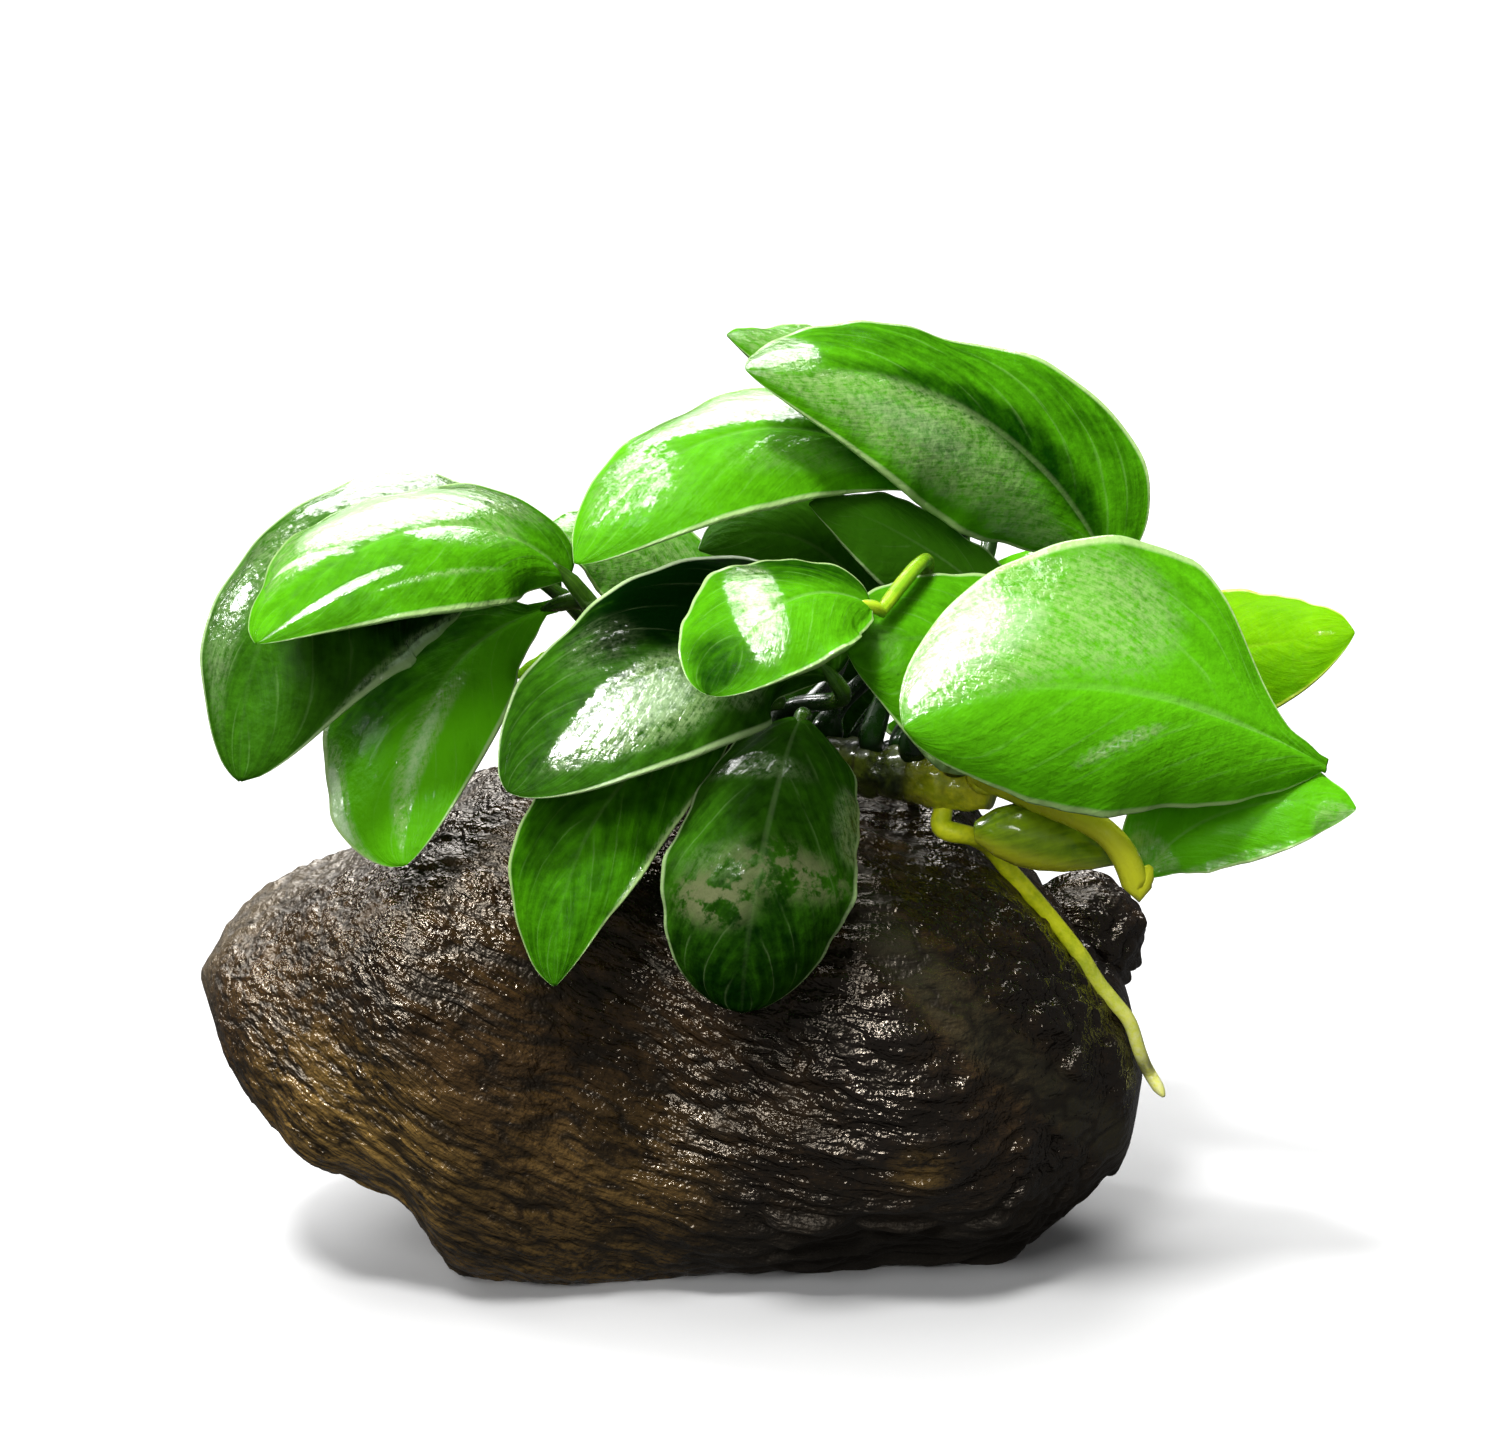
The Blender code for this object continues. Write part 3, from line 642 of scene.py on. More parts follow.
FINISHES = {
    "leaf": leaf_material(
        "leaf", (0.002, 0.025, 0.0006), (0.090, 0.40, 0.004), (0.45, 0.65, 0.24),
        (0.06, 0.20, 0.02), 0.18,
    ),
    "leaf_dark": leaf_material(
        "leaf_dark", (0.001, 0.010, 0.0006), (0.05, 0.20, 0.006), (0.40, 0.58, 0.24),
        (0.03, 0.10, 0.01), 0.08,
    ),
    "leaf_young": leaf_material(
        "leaf_young", (0.07, 0.25, 0.001), (0.20, 0.50, 0.002), (0.60, 0.72, 0.06),
        (0.20, 0.42, 0.01), 0.30,
    ),
}

plant = bpy.data.collections.new("plant")
bpy.context.scene.collection.children.link(plant)

for number, (name, leaf) in enumerate(LEAVES.items()):
    rings, layers = blade_rings(leaf, 1.7 * number)
    blade = add_skin("blade_" + name, rings, layers, plant)
    blade.data.materials.append(FINISHES[leaf.finish])
    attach(blade, "root")
    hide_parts("leaf_" + name)


# Leaf stalks
#
# A fleshy stalk carries each blade. It leaves the rhizome with a wide foot, stands up, thickens a
# little below the blade where it bends, and runs on under the blade as its midrib.

RHIZOME = ((-21, 3, 66.5), (-5, 2, 67), (12, -4, 66), (31, -12, 64))
RHIZOME_RADIUS = 3.8
STALK_RADIUS = 1.15
STALK_STRAIGHT = 1.2
STALK_HEAD_GAP = 0.5
STALK_FOOT_GAP = 0.6
STALK_STEPS = 40
STALK_SIDES = 20


def rhizome_side(share, turn):
    """The middle line at a share of the rhizome's length, and the way out from it at an angle."""
    place, along = bezier(RHIZOME, [share])
    level = unit(np.cross(along[0], (0, 0, 1)))
    angle = math.radians(turn)
    return place[0], -math.cos(angle) * level + math.sin(angle) * np.cross(level, along[0])


def sweep(path, radii, sides):
    """Rings round a path, each square to it, turned as little as possible from ring to ring."""
    ways = unit(np.gradient(path, axis=0))
    normal = unit(np.cross(ways[0], (0.3, 0.9, 0.1)))
    turn = np.linspace(0, 2 * np.pi, sides, endpoint=False)
    rings = np.empty((len(path), sides, 3))
    radii = np.broadcast_to(np.asarray(radii).reshape(len(path), -1), (len(path), sides))
    for index, way in enumerate(ways):
        normal = unit(normal - (normal @ way) * way)
        other = np.cross(way, normal)
        around = np.cos(turn)[:, None] * normal + np.sin(turn)[:, None] * other
        rings[index] = path[index] + radii[index][:, None] * around
    return rings


def tube_layers(count, sides, seed):
    """Shares along and round a tube, and its seed or a stalk's tone with painted shading."""
    along = np.broadcast_to(np.linspace(0, 1, count)[:, None], (count, sides))
    around = np.broadcast_to(np.linspace(0, 1, sides, endpoint=False), (count, sides))
    return {"tube": np.stack((along, around, np.full(along.shape, seed)), -1)}


def stalk_path(leaf):
    """The stalk's middle line: a cubic curve from the rhizome, a short straight head, and the
    midrib's line just under the blade."""
    place, outward = rhizome_side(leaf.station, leaf.turn)
    foot = place + outward * (RHIZOME_RADIUS + STALK_FOOT_GAP)
    base, blade_way = bezier(leaf.midrib, [0.02 * leaf.tuck])
    t = 0.02 * leaf.tuck + np.array((0.0, 0.02, 0.04, 0.06))
    under, _ = blade_point(leaf, t, np.zeros(4))
    down = blade_normal(leaf, t, np.zeros(4))
    way = unit(blade_way[0] + leaf.tuck * down[0])
    head = base[0] - way * STALK_HEAD_GAP * (1 + leaf.tuck)
    neck = head - way * STALK_STRAIGHT
    span = np.linalg.norm(neck - foot)
    handles = leaf.bend or (foot + outward * (0.35 * span), neck - way * (0.35 * span))
    points, _ = bezier((foot, *handles, neck), np.linspace(0, 1, STALK_STEPS))
    under = under - down * (np.array((0.1, 0.35, 0.45, 0.5)) + 0.35 * leaf.tuck)[:, None]
    inside = place + outward * (RHIZOME_RADIUS - 1.2)
    return np.vstack((inside, points, head, under))


def finish_wet(shader, colour, wet, height, relief, roughness, coat, coat_roughness):
    """Finishes a fleshy skin under a broken, glossy film.

    relief is the bump's strength and depth. roughness is the dry skin's, and what the film takes
    off it. coat is the dry skin's, and what the film adds to it.
    """
    inputs = {"Strength": relief[0], "Distance": relief[1], "Height": height}
    varying = {
        "Base Color": colour,
        "Roughness": roughness[0] - roughness[1] * wet,
        "Coat Weight": coat[0] + coat[1] * wet,
        "Normal": height.node("Bump", inputs=inputs),
    }
    finish_shader(shader, varying, {"Specular IOR Level": 0.3, "Coat Roughness": coat_roughness})


def stalk_material(name, dark, bright):
    """Stalk skin: fibres along it, blotches, painted shading at its foot and a thin wet film."""
    made, shader, new = start_material(name)
    place = new.node("TexCoord", output="Object")
    along, around, tone = new.layer("tube")
    turn = around * (2 * math.pi)
    wide, high = 3 * turn.math("COSINE", turn), 3 * turn.math("SINE", turn)
    ring = new.vector(wide, high, along * 2 + 9 * tone)
    fibres = ring.noise(2.5, 3.0, 0.6)
    blotches = place.noise(260.0, 3.0, 0.6)
    # The tone sets the stalk's brightness as painted light and shade, for how much light reaches
    # it.
    level = tone + 0.3 * along + 0.8 * (blotches - 0.5) + 0.5 * (fibres - 0.5)
    colour = level.ramp(0.0, 1.0).between(dark, bright)
    # Painted shade: the foot goes near-black where the tone is low.
    colour = (along + tone).ramp(0.25, 0.7).between((0.005, 0.022, 0.002), colour)
    wet = place.noise(500.0, 4.0, 0.6).ramp(0.42, 0.58)
    height = 0.8 * fibres + 0.3 * place.noise(1800.0, 2.0, 0.6)
    finish_wet(shader, colour, wet, height, (0.4, 0.0002), (0.42, 0.2), (0.15, 0.7), 0.1)
    return made


FINISHES["stalk"] = stalk_material("stalk", (0.006, 0.030, 0.002), (0.11, 0.28, 0.01))
FINISHES["stalk_yellow"] = stalk_material("stalk_yellow", (0.15, 0.40, 0.006), (0.85, 0.90, 0.03))

for number, (name, leaf) in enumerate(LEAVES.items()):
    path = stalk_path(leaf)
    share = np.linspace(0, 1, len(path))
    girth = 1.15 - 0.3 * share + 0.75 * np.exp(-((share / 0.10) ** 2))
    girth = girth + 0.12 * np.exp(-(((share - 0.8) / 0.1) ** 2))
    girth[-4:] = (0.80, 0.72, 0.55, 0.35)
    around = np.linspace(0, 2 * np.pi, STALK_SIDES, endpoint=False)
    ridges = 1 + 0.025 * np.cos(5 * around + number)
    rings = sweep(path, STALK_RADIUS * leaf.stalk_girth * girth[:, None] * ridges, STALK_SIDES)
    layers = tube_layers(len(path), STALK_SIDES, leaf.stalk_tone)
    stalk = add_skin("petiole_" + name, rings, layers, plant)
    stalk.data.materials.append(FINISHES[leaf.stalk_finish])
    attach(stalk, "root")
    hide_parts("stalk_" + name)


# Rhizome
#
# A creeping stem as thick as a pencil, ringed by the scars of old leaves. It lies on the ridge of
# the wood, dark olive and wet where it is old, and yellow-green at its growing end.

RHIZOME_RINGS = (0.55, 0.9, 1, 0.93, 1, 0.93, 1, 0.93, 0.95, 0.7)
RHIZOME_SCARS = 13
RHIZOME_ROWS = 150
RHIZOME_SIDES = 48

share = np.linspace(0, 1, RHIZOME_ROWS)
path, _ = bezier(RHIZOME, share)
girth = np.interp(share, np.linspace(0, 1, len(RHIZOME_RINGS)), RHIZOME_RINGS)
scars = 0.25 * np.abs(np.sin(share * RHIZOME_SCARS * np.pi + 0.4 + 0.9 * np.sin(17 * share))) ** 0.4
rings = sweep(path, RHIZOME_RADIUS * girth - 0.35 + scars, RHIZOME_SIDES)
outward = unit(rings - path[:, None])
rings = rings + outward * (0.5 * waviness(rings, (5.0, 2.5, 1.2), 3))[..., None]
rhizome = add_skin("creeping_stem", rings, tube_layers(RHIZOME_ROWS, RHIZOME_SIDES, 0), plant)

made, shader, new = start_material("rhizome")
place = new.node("TexCoord", output="Object")
along, _, _ = new.layer("tube")
blotches = place.noise(220.0, 4.0, 0.6)
specks = place.noise(1300.0, 3.0, 0.6)
cell = along * RHIZOME_SCARS + 0.127 + 0.286 * (along * 17).math("SINE", along * 17)
scar = abs(cell.math("FRACT", cell) - 0.5).ramp(0.40, 0.5) * blotches.ramp(0.35, 0.6)
young = along.ramp(0.80, 0.91)
level = (blotches + 0.4 * (specks - 0.5)).ramp(0.3, 0.7)
old_skin = level.between((0.006, 0.009, 0.002), (0.055, 0.075, 0.006))
new_skin = level.between((0.34, 0.40, 0.006), (0.86, 0.84, 0.03))
colour = (0.7 * scar).between(young.between(old_skin, new_skin), (0.02, 0.015, 0.004))
wet = place.noise(320.0, 4.0, 0.6).ramp(0.40, 0.60)
height = 0.6 * specks + 0.8 * blotches - 0.6 * scar
finish_wet(shader, colour, wet, height, (0.5, 0.0005), (0.5, 0.25), (0.2, 0.8), 0.1)
rhizome.data.materials.append(made)
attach(rhizome, "root")
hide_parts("rhizome")


# Bud
#
# The next leaf, still rolled up in its sheath at the rhizome's growing end: an olive-green
# spindle with a folded edge along it and a yellow lower side.

BUD = ((28.5, -18.5, 60.5), (33, -19.5, 61), (40.5, -19, 60), (47.5, -19.5, 57))
BUD_RADII = (1.4, 3.2, 4.2, 4.4, 3.9, 2.6, 0.5)
BUD_ROWS = 90
BUD_SIDES = 48

share = np.linspace(0, 1, BUD_ROWS)
path, _ = bezier(BUD, share)
girth = np.interp(share, np.linspace(0, 1, len(BUD_RADII)), BUD_RADII)
around = np.linspace(0, 1, BUD_SIDES, endpoint=False)
fold = (around + 0.35 * share[:, None] + 0.1) % 1.0
rings = sweep(path, girth[:, None] * (0.94 + 0.12 * fold**2), BUD_SIDES)
layers = tube_layers(BUD_ROWS, BUD_SIDES, 2)
layers["tube"][..., 1] = fold
bud = add_skin("rolled_bud", rings, layers, plant)

made, shader, new = start_material("bud")
place = new.node("TexCoord", output="Object")
along, fold, _ = new.layer("tube")
x, _, z = place.parts()
low = (z * 1000 + 0.25 * (x * 1000)).ramp(65.5, 69.0, 1.0, 0.0)
stripes = new.vector(fold * 14, along * 2, 0.0).noise(2.0, 3.0, 0.6)
blotches = place.noise(260.0, 3.0, 0.6)
level = 0.5 + 0.8 * (stripes - 0.5) + 0.7 * (blotches - 0.5)
green = level.ramp(0.1, 0.9).between((0.05, 0.14, 0.003), (0.36, 0.56, 0.01))
colour = (low * 0.9).between(green, (0.75, 0.78, 0.03))
wet = place.noise(380.0, 4.0, 0.6).ramp(0.36, 0.52)
height = 0.8 * stripes + 0.3 * blotches
finish_wet(shader, colour, wet, height, (0.4, 0.0003), (0.4, 0.2), (0.2, 0.8), 0.08)
bud.data.materials.append(made)
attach(bud, "root")
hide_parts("bud")


# Driftwood
#
# One dark, waterlogged chunk with a blunt nose on the left, a round knob at the back on the right,
# a broad hollow down its front and an undercut foot. Fine grain and wrinkles run along it.

# Places along the wood: x, and the heights of its top and bottom and the depths of its front and
# back there.
WOOD_STATIONS = np.array((
    (-72.3, 37, 37, -3, -3),
    (-69, 42, 28, -12, 8),
    (-60, 49, 16, -22, 17),
    (-50, 55, 10, -28, 23),
    (-44.5, 58, 6, -31, 26),
    (-39, 61.5, -4, -32, 29),
    (-30, 63, -5, -32, 30),
    (-20, 61.5, -5, -30, 31),
    (0, 61, -5, -29, 32),
    (15, 60, -5, -30, 31),
    (27, 54, -4, -29, 29),
    (38, 46, 2, -23, 25),
    (46, 38, 8, -15, 18),
    (50.5, 31, 14, -8, 10),
    (52.3, 23, 23, 0, 0),
))
WOOD_ROUNDNESS = 2.4
KNOB_CENTRE = (44.5, 12, 37.5)
KNOB_RADIUS = 8.6
WOOD_ROWS = 204
WOOD_SIDES = 470
KNOB_ROWS = 88
KNOB_SIDES = 110

# The smooth band over the right shoulder lies where this share of x and of z make this many mm.
BAND_X, BAND_Z, BAND_PLACE = 0.72, 0.70, 46.44


def smooth_curve(x, stations, values):
    """Values between stations, joined with cubic pieces whose slopes follow the neighbours."""
    slopes = np.gradient(values, stations)
    index = np.clip(np.searchsorted(stations, x) - 1, 0, len(stations) - 2)
    width = stations[index + 1] - stations[index]
    s = np.clip((x - stations[index]) / width, 0, 1)
    start = (1 + 2 * s) * (1 - s) ** 2 * values[index] + s * (1 - s) ** 2 * width * slopes[index]
    end = s**2 * (3 - 2 * s) * values[index + 1] + s**2 * (s - 1) * width * slopes[index + 1]
    return start + end


def wood_point(x, angle, height=0):
    """Points at a height above the wood, for distances along it and angles around it.

    Round the middle line, the section is a rounded box whose top, bottom, front and back come from
    the stations. Broad waves, a rise behind the rhizome, a hollow down the front, a swelling beside
    it and an undercut along the foot are added to its radius.
    """
    top, bottom, front, back = (
        smooth_curve(x, WOOD_STATIONS[:, 0], WOOD_STATIONS[:, column]) for column in range(1, 5)
    )
    middle_y, middle_z = (front + back) / 2, (top + bottom) / 2
    way_y, way_z = np.cos(angle), np.sin(angle)
    half_depth = np.maximum((back - front) / 2, 0.01)
    half_height = np.maximum((top - bottom) / 2, 0.01)
    power = WOOD_ROUNDNESS
    box = np.abs(way_y / half_depth) ** power + np.abs(way_z / half_height) ** power
    radius = box ** (-1 / power)
    z = middle_z + radius * way_z
    front_share = np.clip(-way_y, 0, 1)
    hollow = np.exp(-(((x + 14 - 0.45 * (40 - z)) / 9) ** 2)) * np.exp(-(((z - 32) / 22) ** 2))
    swelling = np.exp(-(((x - 22) / 16) ** 2)) * np.exp(-(((z - 27) / 12) ** 2))
    undercut = np.exp(-(((x - 22) / 26) ** 2)) * np.exp(-(((z - 2) / 7) ** 2))
    waves = 1.2 * np.sin(0.11 * x + 2 * angle + 0.7) + 0.8 * np.sin(0.21 * x - 3 * angle)
    first, last = WOOD_STATIONS[0, 0], WOOD_STATIONS[-1, 0]
    share = (x - first) / (last - first)
    away_from_ends = np.clip(10 * share * (1 - share), 0, 1)
    rise = np.exp(-(((x - 24) / 12) ** 2)) * np.exp(-(((angle - 1.1) / 0.5) ** 2))
    relief = waves + 6 * rise + front_share * (2.5 * swelling - 4 * hollow - 4 * undercut)
    radius = radius + away_from_ends * relief + height
    return np.stack((x, middle_y + radius * way_y, middle_z + radius * way_z), -1)


def along_grain(points):
    """The points with the grain's run shortened: it slopes down to the right on the left part, and
    runs level on the right part."""
    x, y, z = np.moveaxis(points, -1, 0)
    slope = -6.0 * np.log1p(np.exp(-x / 10))
    return np.stack((0.16 * x, y, z + slope), -1)


def creases(points, wavelengths, seed):
    """Rounded ridges with sharp valleys between them: how far a waviness is from 0."""
    return 3 * np.abs(waviness(points, wavelengths, seed)) - 0.7


def grain(points):
    """The wood's small relief in mm, the depth of its creases, and how wrinkled it is.

    Lumps, and creases drawn out along the grain. Level wrinkles run deep over the right of the
    front, and the shoulder above them has a smooth band down to the right.
    """
    x, y, z = np.moveaxis(points, -1, 0)
    lumps = waviness(points, (16.0, 9.0, 5.0, 3.0), 11)
    bent = points + 1.6 * waviness(points, (24.0, 12.0, 6.0), 5)[..., None]
    drawn = along_grain(bent)
    wrinkled = np.clip((x + 12) / 14, 0, 1) * np.clip((50 - z) / 10, 0.15, 1)
    from_band = BAND_X * x + BAND_Z * z - BAND_PLACE
    band = np.exp(-((from_band / 3.5) ** 4)) * np.clip(-y / 5, 0, 1)
    wrinkled = wrinkled * (1 - band)
    deep = creases(drawn, (6.4, 3.6, 2.1), 23)
    fine = creases(drawn, (3.4, 2.0), 31)
    small = creases(points * np.array((0.5, 1, 1)), (3.2, 2.0), 37)
    small = (1 - 0.7 * band) * small
    relief = 0.6 * lumps + (0.18 + 0.52 * wrinkled) * deep + 0.18 * fine + 0.10 * small - 0.4
    return relief, deep, fine, wrinkled


def add_wood(name, rings, relief):
    """A mesh of the wood whose points keep the depths of their creases."""
    _, deep, fine, wrinkled = relief
    return add_skin(name, rings, {"crease": np.stack((deep, fine, wrinkled), -1)}, plant)


row = np.linspace(0, 1, WOOD_ROWS + 2)[1:-1]
row = 0.4 * (1 - np.cos(np.pi * row)) / 2 + 0.6 * row
first, last = WOOD_STATIONS[0, 0], WOOD_STATIONS[-1, 0]
x = first + (last - first) * row
around = np.linspace(0, 2 * np.pi, WOOD_SIDES, endpoint=False)
x, around = np.meshgrid(x, around, indexing="ij")
relief = grain(wood_point(x, around))
ends = np.clip((x - first) / 4, 0, 1) * np.clip((last - x) / 8, 0, 1)
rings = wood_point(x, around, ends * relief[0])
rings[..., 2] = np.maximum(rings[..., 2], 0)
wood = add_wood("wood", rings, relief)

turn = np.linspace(0, np.pi, KNOB_ROWS + 2)[1:-1]
around = np.linspace(0, 2 * np.pi, KNOB_SIDES, endpoint=False)
turn, around = np.meshgrid(turn, around, indexing="ij")
way = np.stack((-np.cos(turn), np.sin(turn) * np.cos(around), np.sin(turn) * np.sin(around)), -1)
ball = np.array(KNOB_CENTRE) + way * KNOB_RADIUS
relief = grain(ball)
knob = add_wood("knob", ball + way * (0.7 * relief[0])[..., None], relief)

made, shader, new = start_material("driftwood")
place = new.node("TexCoord", output="Object")
deep, fine, wrinkled = new.layer("crease")
x, y, z = place.parts()
bend = place.noise(60.0, 3.0, 0.55) - 0.5
slope = 0.60 * x.math("SMOOTH_MIN", x, 0.0, 0.03)
drawn = new.vector(x * 0.16 + 0.01 * bend, y + 0.008 * bend, z + slope + 0.008 * bend)
fibres = drawn.noise(520.0, 4.0, 0.65)
strands = new.vector(x * 0.26, y + 0.006 * bend, z + slope + 0.006 * bend).noise(1050.0, 2.0, 0.5)
blotches = place.noise(55.0, 4.0, 0.62)
grit = place.noise(900.0, 5.0, 0.72)
sparkle = place.noise(1500.0, 1.0, 0.5)
near = {"operation": "DISTANCE"}
ochre_left = place.node("VectorMath", near, {0: place, 1: (-0.050, -0.024, 0.018)}, 1)
ochre_right = place.node("VectorMath", near, {0: place, 1: (0.022, -0.034, 0.018)}, 1)
ochre_left = ochre_left.ramp(0.006, 0.024, 1.0, 0.0)
warm = z.ramp(0.012, 0.034, 0.35, 0.0) * x.ramp(-0.020, 0.002, 1.0, 0.0)
from_band = abs(BAND_X * x + BAND_Z * z - BAND_PLACE * MM)
band = from_band.ramp(0.0015, 0.0040, 1.0, 0.0)
band = band * y.ramp(-0.006, 0.0, 1.0, 0.0) * x.ramp(0.006, 0.016)
ridge = y.ramp(-0.014, -0.003) * x.ramp(-0.046, -0.030, 1.0, 0.0)
ochre_right = ochre_right.ramp(0.001, 0.007, 0.7, 0.0)
left = x.ramp(-0.070, 0.010, 1.0, 0.0)
# Painted shade: the foot goes near-black from the middle to the right, where shade falls under the
# wood.
low = z.ramp(0.005, 0.020, 1.0, 0.0) * x.ramp(-0.016, 0.010)
# Painted shade: the colour goes near-black down the deep creases and wrinkles.
painted_crease_shade = (deep + 0.35 * wrinkled).ramp(-0.65, 0.1, 1.0, 0.0).most(fine.ramp(-0.7, -0.35, 0.6, 0.0))
level = blotches + 0.8 * (fibres - 0.5) + 0.6 * (grit - 0.5) + 0.18 * left - 0.05
colour = level.ramp(0.30, 0.80).between((0.0060, 0.0032, 0.0012), (0.062, 0.034, 0.012))
black = (0.92 * wrinkled) * (blotches + 0.5 * (grit - 0.5)).ramp(0.40, 0.65, 1.0, 0.6)
colour = black.between(colour, (0.009, 0.007, 0.006))
ochre = ochre_left.most(ochre_right).most(warm) * (fibres + 0.6 * (grit - 0.5)).ramp(0.30, 0.58)
colour = (0.85 * ochre).between(colour, (0.30, 0.18, 0.045))
colour = (0.6 * band).between(colour, (0.034, 0.033, 0.018))
colour = (0.7 * ridge).between(colour, (0.085, 0.070, 0.045))
# Painted shade in the creases.
colour = (0.85 * painted_crease_shade).between(colour, (0.003, 0.002, 0.0012))
# Painted shade along the foot.
colour = low.between(colour, (0.0012, 0.0010, 0.0008))
dull = (0.8 * place.noise(150.0, 4.0, 0.65).ramp(0.52, 0.68)).most(0.8 * painted_crease_shade).most(low)
height = 0.9 * strands + 0.35 * sparkle + 0.10 * grit
height = height * (1 - 0.4 * band.most(ridge))
bump = new.node("Bump", inputs={"Strength": 1.0, "Distance": 0.0009, "Height": height})
varying = {
    "Base Color": colour,
    "Roughness": 0.10 + 0.40 * dull + 0.4 * low + 0.2 * ridge,
    "Normal": bump,
}
finish_shader(shader, varying, {"Specular IOR Level": 1.0, "Specular Tint": (1.0, 0.87, 0.70, 1)})

for piece in (wood, knob):
    piece.data.materials.append(made)
    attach(piece, "root")
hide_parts("driftwood")


# Roots
#
# Fleshy roots leave the rhizome and creep over the wood, yellow-green where they start and cream
# toward the tip. The longest crosses the right shoulder and hangs free at its end.

# A root: where it starts along the rhizome and round it in degrees, its radius at both ends, and
# its way over the wood: x, the angle round the wood in degrees, and the height above it.
ROOTS = {
    "root_long": (
        0.9, 255, 1.3, 0.8,
        ((28.5, 109, 2.6), (31.5, 105, 1), (35.5, 108, 0.6), (40, 114, 0.2), (44, 122, 0.2),
         (47, 129, 0.4), (49.5, 138, 1.2), (52, 165, 3.2), (54.2, 190, 6.4)),
    ),
    "root_back_left": (
        0.15, -35, 1.1, 0.6,
        ((-17, 72, 0.8), (-20, 58, 0.6), (-24, 45, 0.6), (-28, 33, 0.6), (-31, 21, 0.6),
         (-34, 8, 0.4)),
    ),
    "root_back_middle": (
        0.45, -35, 1.2, 0.6,
        ((2, 72, 0.8), (5, 57, 0.6), (8, 44, 0.6), (6, 30, 0.6), (5, 16, 0.6), (8, 3, 0.4)),
    ),
    "root_back_right": (
        0.8, -35, 1.1, 0.6,
        ((23, 72, 0.8), (27, 58, 0.6), (29, 46, 0.6), (28, 34, 0.6), (27, 22, 0.4)),
    ),
}
ROOT_GAP = 0.3
ROOT_STOPS = 12
ROOT_STEPS = 120
ROOT_SIDES = 20

root_skin, shader, new = start_material("root")
place = new.node("TexCoord", output="Object")
along, _, _ = new.layer("tube")
blotches = place.noise(400.0, 3.0, 0.6)
specks = place.noise(1900.0, 3.0, 0.6)
green = (blotches + 0.3 * (specks - 0.5)).ramp(0.3, 0.7)
green = green.between((0.52, 0.64, 0.006), (0.86, 0.92, 0.02))
cream = specks.ramp(0.3, 0.7).between((0.92, 0.94, 0.14), (0.98, 0.97, 0.46))
colour = along.ramp(0.45, 1.0).between(green, cream)
wet = place.noise(700.0, 3.0, 0.6).ramp(0.42, 0.6)
height = 0.7 * specks + 0.6 * blotches
finish_wet(shader, colour, wet, height, (0.4, 0.0003), (0.5, 0.2), (0.1, 0.6), 0.12)

for number, (name, root) in enumerate(ROOTS.items()):
    station, turn, start_radius, end_radius, way = root
    place, outward = rhizome_side(station, turn)
    foot = place + outward * (RHIZOME_RADIUS + ROOT_GAP)
    way = np.array(way, float)
    steps = np.linspace(0, len(way) - 1, ROOT_STOPS)
    x, angle, height = (smooth_curve(steps, np.arange(len(way)), column) for column in way.T)
    relief = grain(wood_point(x, np.radians(angle)))[0]
    sunk = np.clip(1.5 - height, 0, 1)
    near = 0.6 * relief + 0.6 * start_radius
    height = (1 - sunk) * (height + start_radius + ROOT_GAP) + sunk * near
    over = wood_point(x, np.radians(angle), height)
    knots = np.vstack((place + outward * 2.5, foot, foot + outward * start_radius, over))
    stops = np.concatenate(([0], np.cumsum(np.linalg.norm(np.diff(knots, axis=0), axis=1))))
    along = np.linspace(0, stops[-1], ROOT_STEPS)
    path = np.stack([smooth_curve(along, stops, knots[:, axis]) for axis in range(3)], -1)
    radii = np.linspace(start_radius, end_radius, ROOT_STEPS)
    radii = radii * (1 + 0.10 * waviness(path, (9.0, 5.0), number))
    radii[-4:] *= (0.95, 0.8, 0.6, 0.3)
    rings = sweep(path, radii, ROOT_SIDES)
    piece = add_skin(name + "_strand", rings, tube_layers(ROOT_STEPS, ROOT_SIDES, number), plant)
    piece.data.materials.append(root_skin)
    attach(piece, "root")
    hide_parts(name)


# Floor, light and camera
#
# A plain pale floor, a key lamp above and a smaller one at the left, soft panels above, behind and
# in front, a pale even sky, and a view from the front, 14 degrees above the level.

FLOOR_REACH = 45.0
CAMERA_PLACE = (0, -0.5337, 0.2031)
CAMERA_PITCH = 14
CAMERA_LENS = 101.54

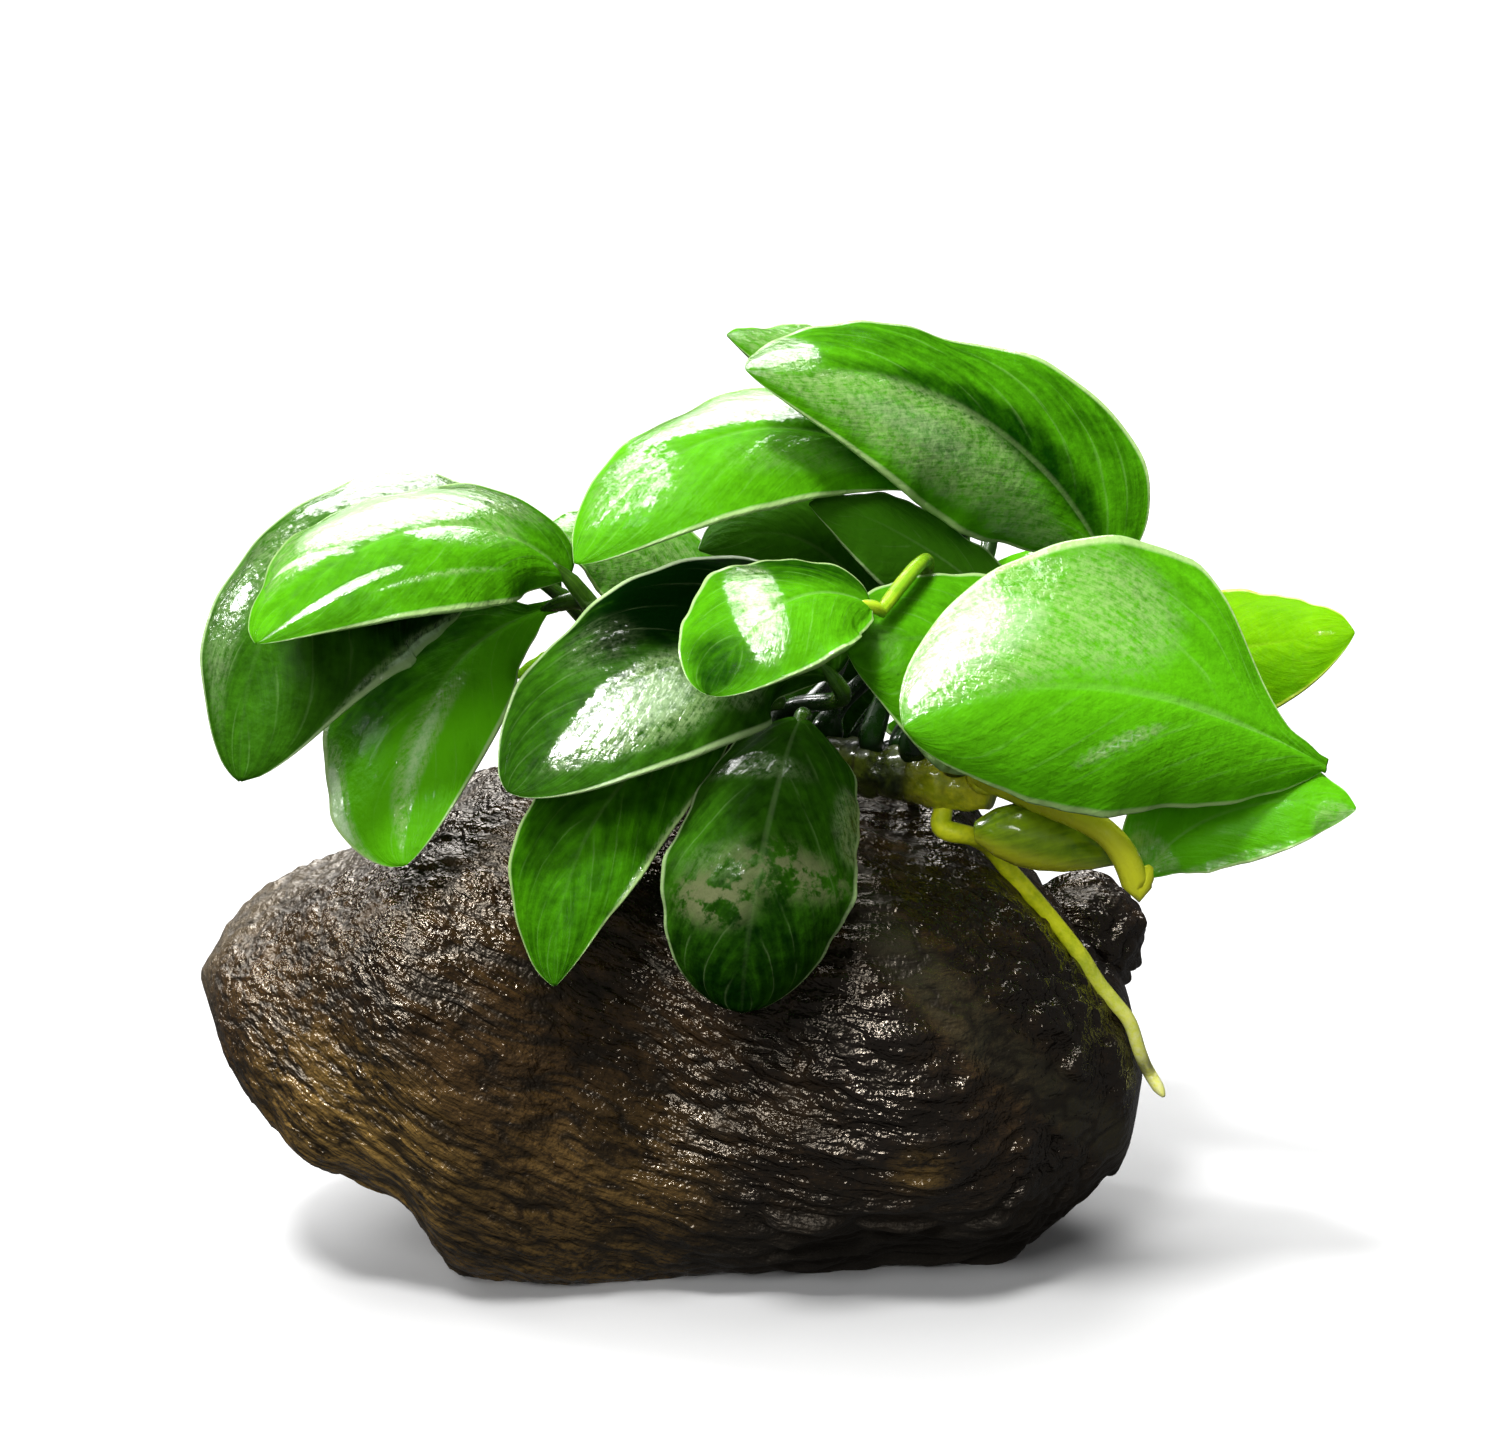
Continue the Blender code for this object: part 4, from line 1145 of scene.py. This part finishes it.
corners = FLOOR_REACH * np.array(((-1, -1, 0), (1, -1, 0), (1, 1, 0), (-1, 1, 0)))
floor_mesh = bpy.data.meshes.new("floor")
floor_mesh.from_pydata(corners.tolist(), [], [(0, 1, 2, 3)])
floor = bpy.data.objects.new("floor", floor_mesh)
bpy.context.scene.collection.objects.link(floor)
made, shader, _ = start_material("floor")
plain = {"Base Color": (0.50, 0.50, 0.50, 1), "Roughness": 0.9, "Specular IOR Level": 0.1}
finish_shader(shader, {}, plain)
floor.data.materials.append(made)
floor.visible_glossy = False
floor.visible_diffuse = False


def add_lamp(name, towards, strength, spread, mirrored=True):
    """A distant soft lamp: the way towards it, its strength, how wide it looks in degrees, and
    whether wet skins mirror it."""
    lamp = bpy.data.lights.new(name, "SUN")
    lamp.energy = strength
    lamp.angle = math.radians(spread)
    made = bpy.data.objects.new(name, lamp)
    made.rotation_euler = Vector(towards).to_track_quat("Z", "Y").to_euler()
    made.visible_glossy = mirrored
    bpy.context.scene.collection.objects.link(made)


add_lamp("key", (-0.22, -0.28, 0.93), 3.4, 12)
add_lamp("panel_above", (-0.12, 0.05, 0.99), 2.4, 32)
add_lamp("panel_behind", (-0.10, 0.72, 0.70), 3.2, 42)
add_lamp("panel_front", (-0.35, -0.70, 0.62), 1.6, 24)
add_lamp("side_left", (-0.75, 0.34, 0.52), 1.1, 10)
add_lamp("panel_low", (0.12, -0.95, 0.28), 0.6, 30, False)

sky = bpy.data.worlds.new("sky")
sky.use_nodes = True
sky.node_tree.nodes["Background"].inputs["Color"].default_value = (1, 1, 1, 1)
sky.node_tree.nodes["Background"].inputs["Strength"].default_value = 0.08
bpy.context.scene.world = sky

bpy.context.scene.view_settings.view_transform = "Standard"

lens = bpy.data.cameras.new("camera")
lens.lens = CAMERA_LENS
lens.sensor_width = 36
lens.clip_start = 0.01
lens.clip_end = 100
camera = bpy.data.objects.new("camera", lens)
camera.location = CAMERA_PLACE
camera.rotation_euler = (math.radians(90 - CAMERA_PITCH), 0, 0)
bpy.context.scene.collection.objects.link(camera)
bpy.context.scene.camera = camera
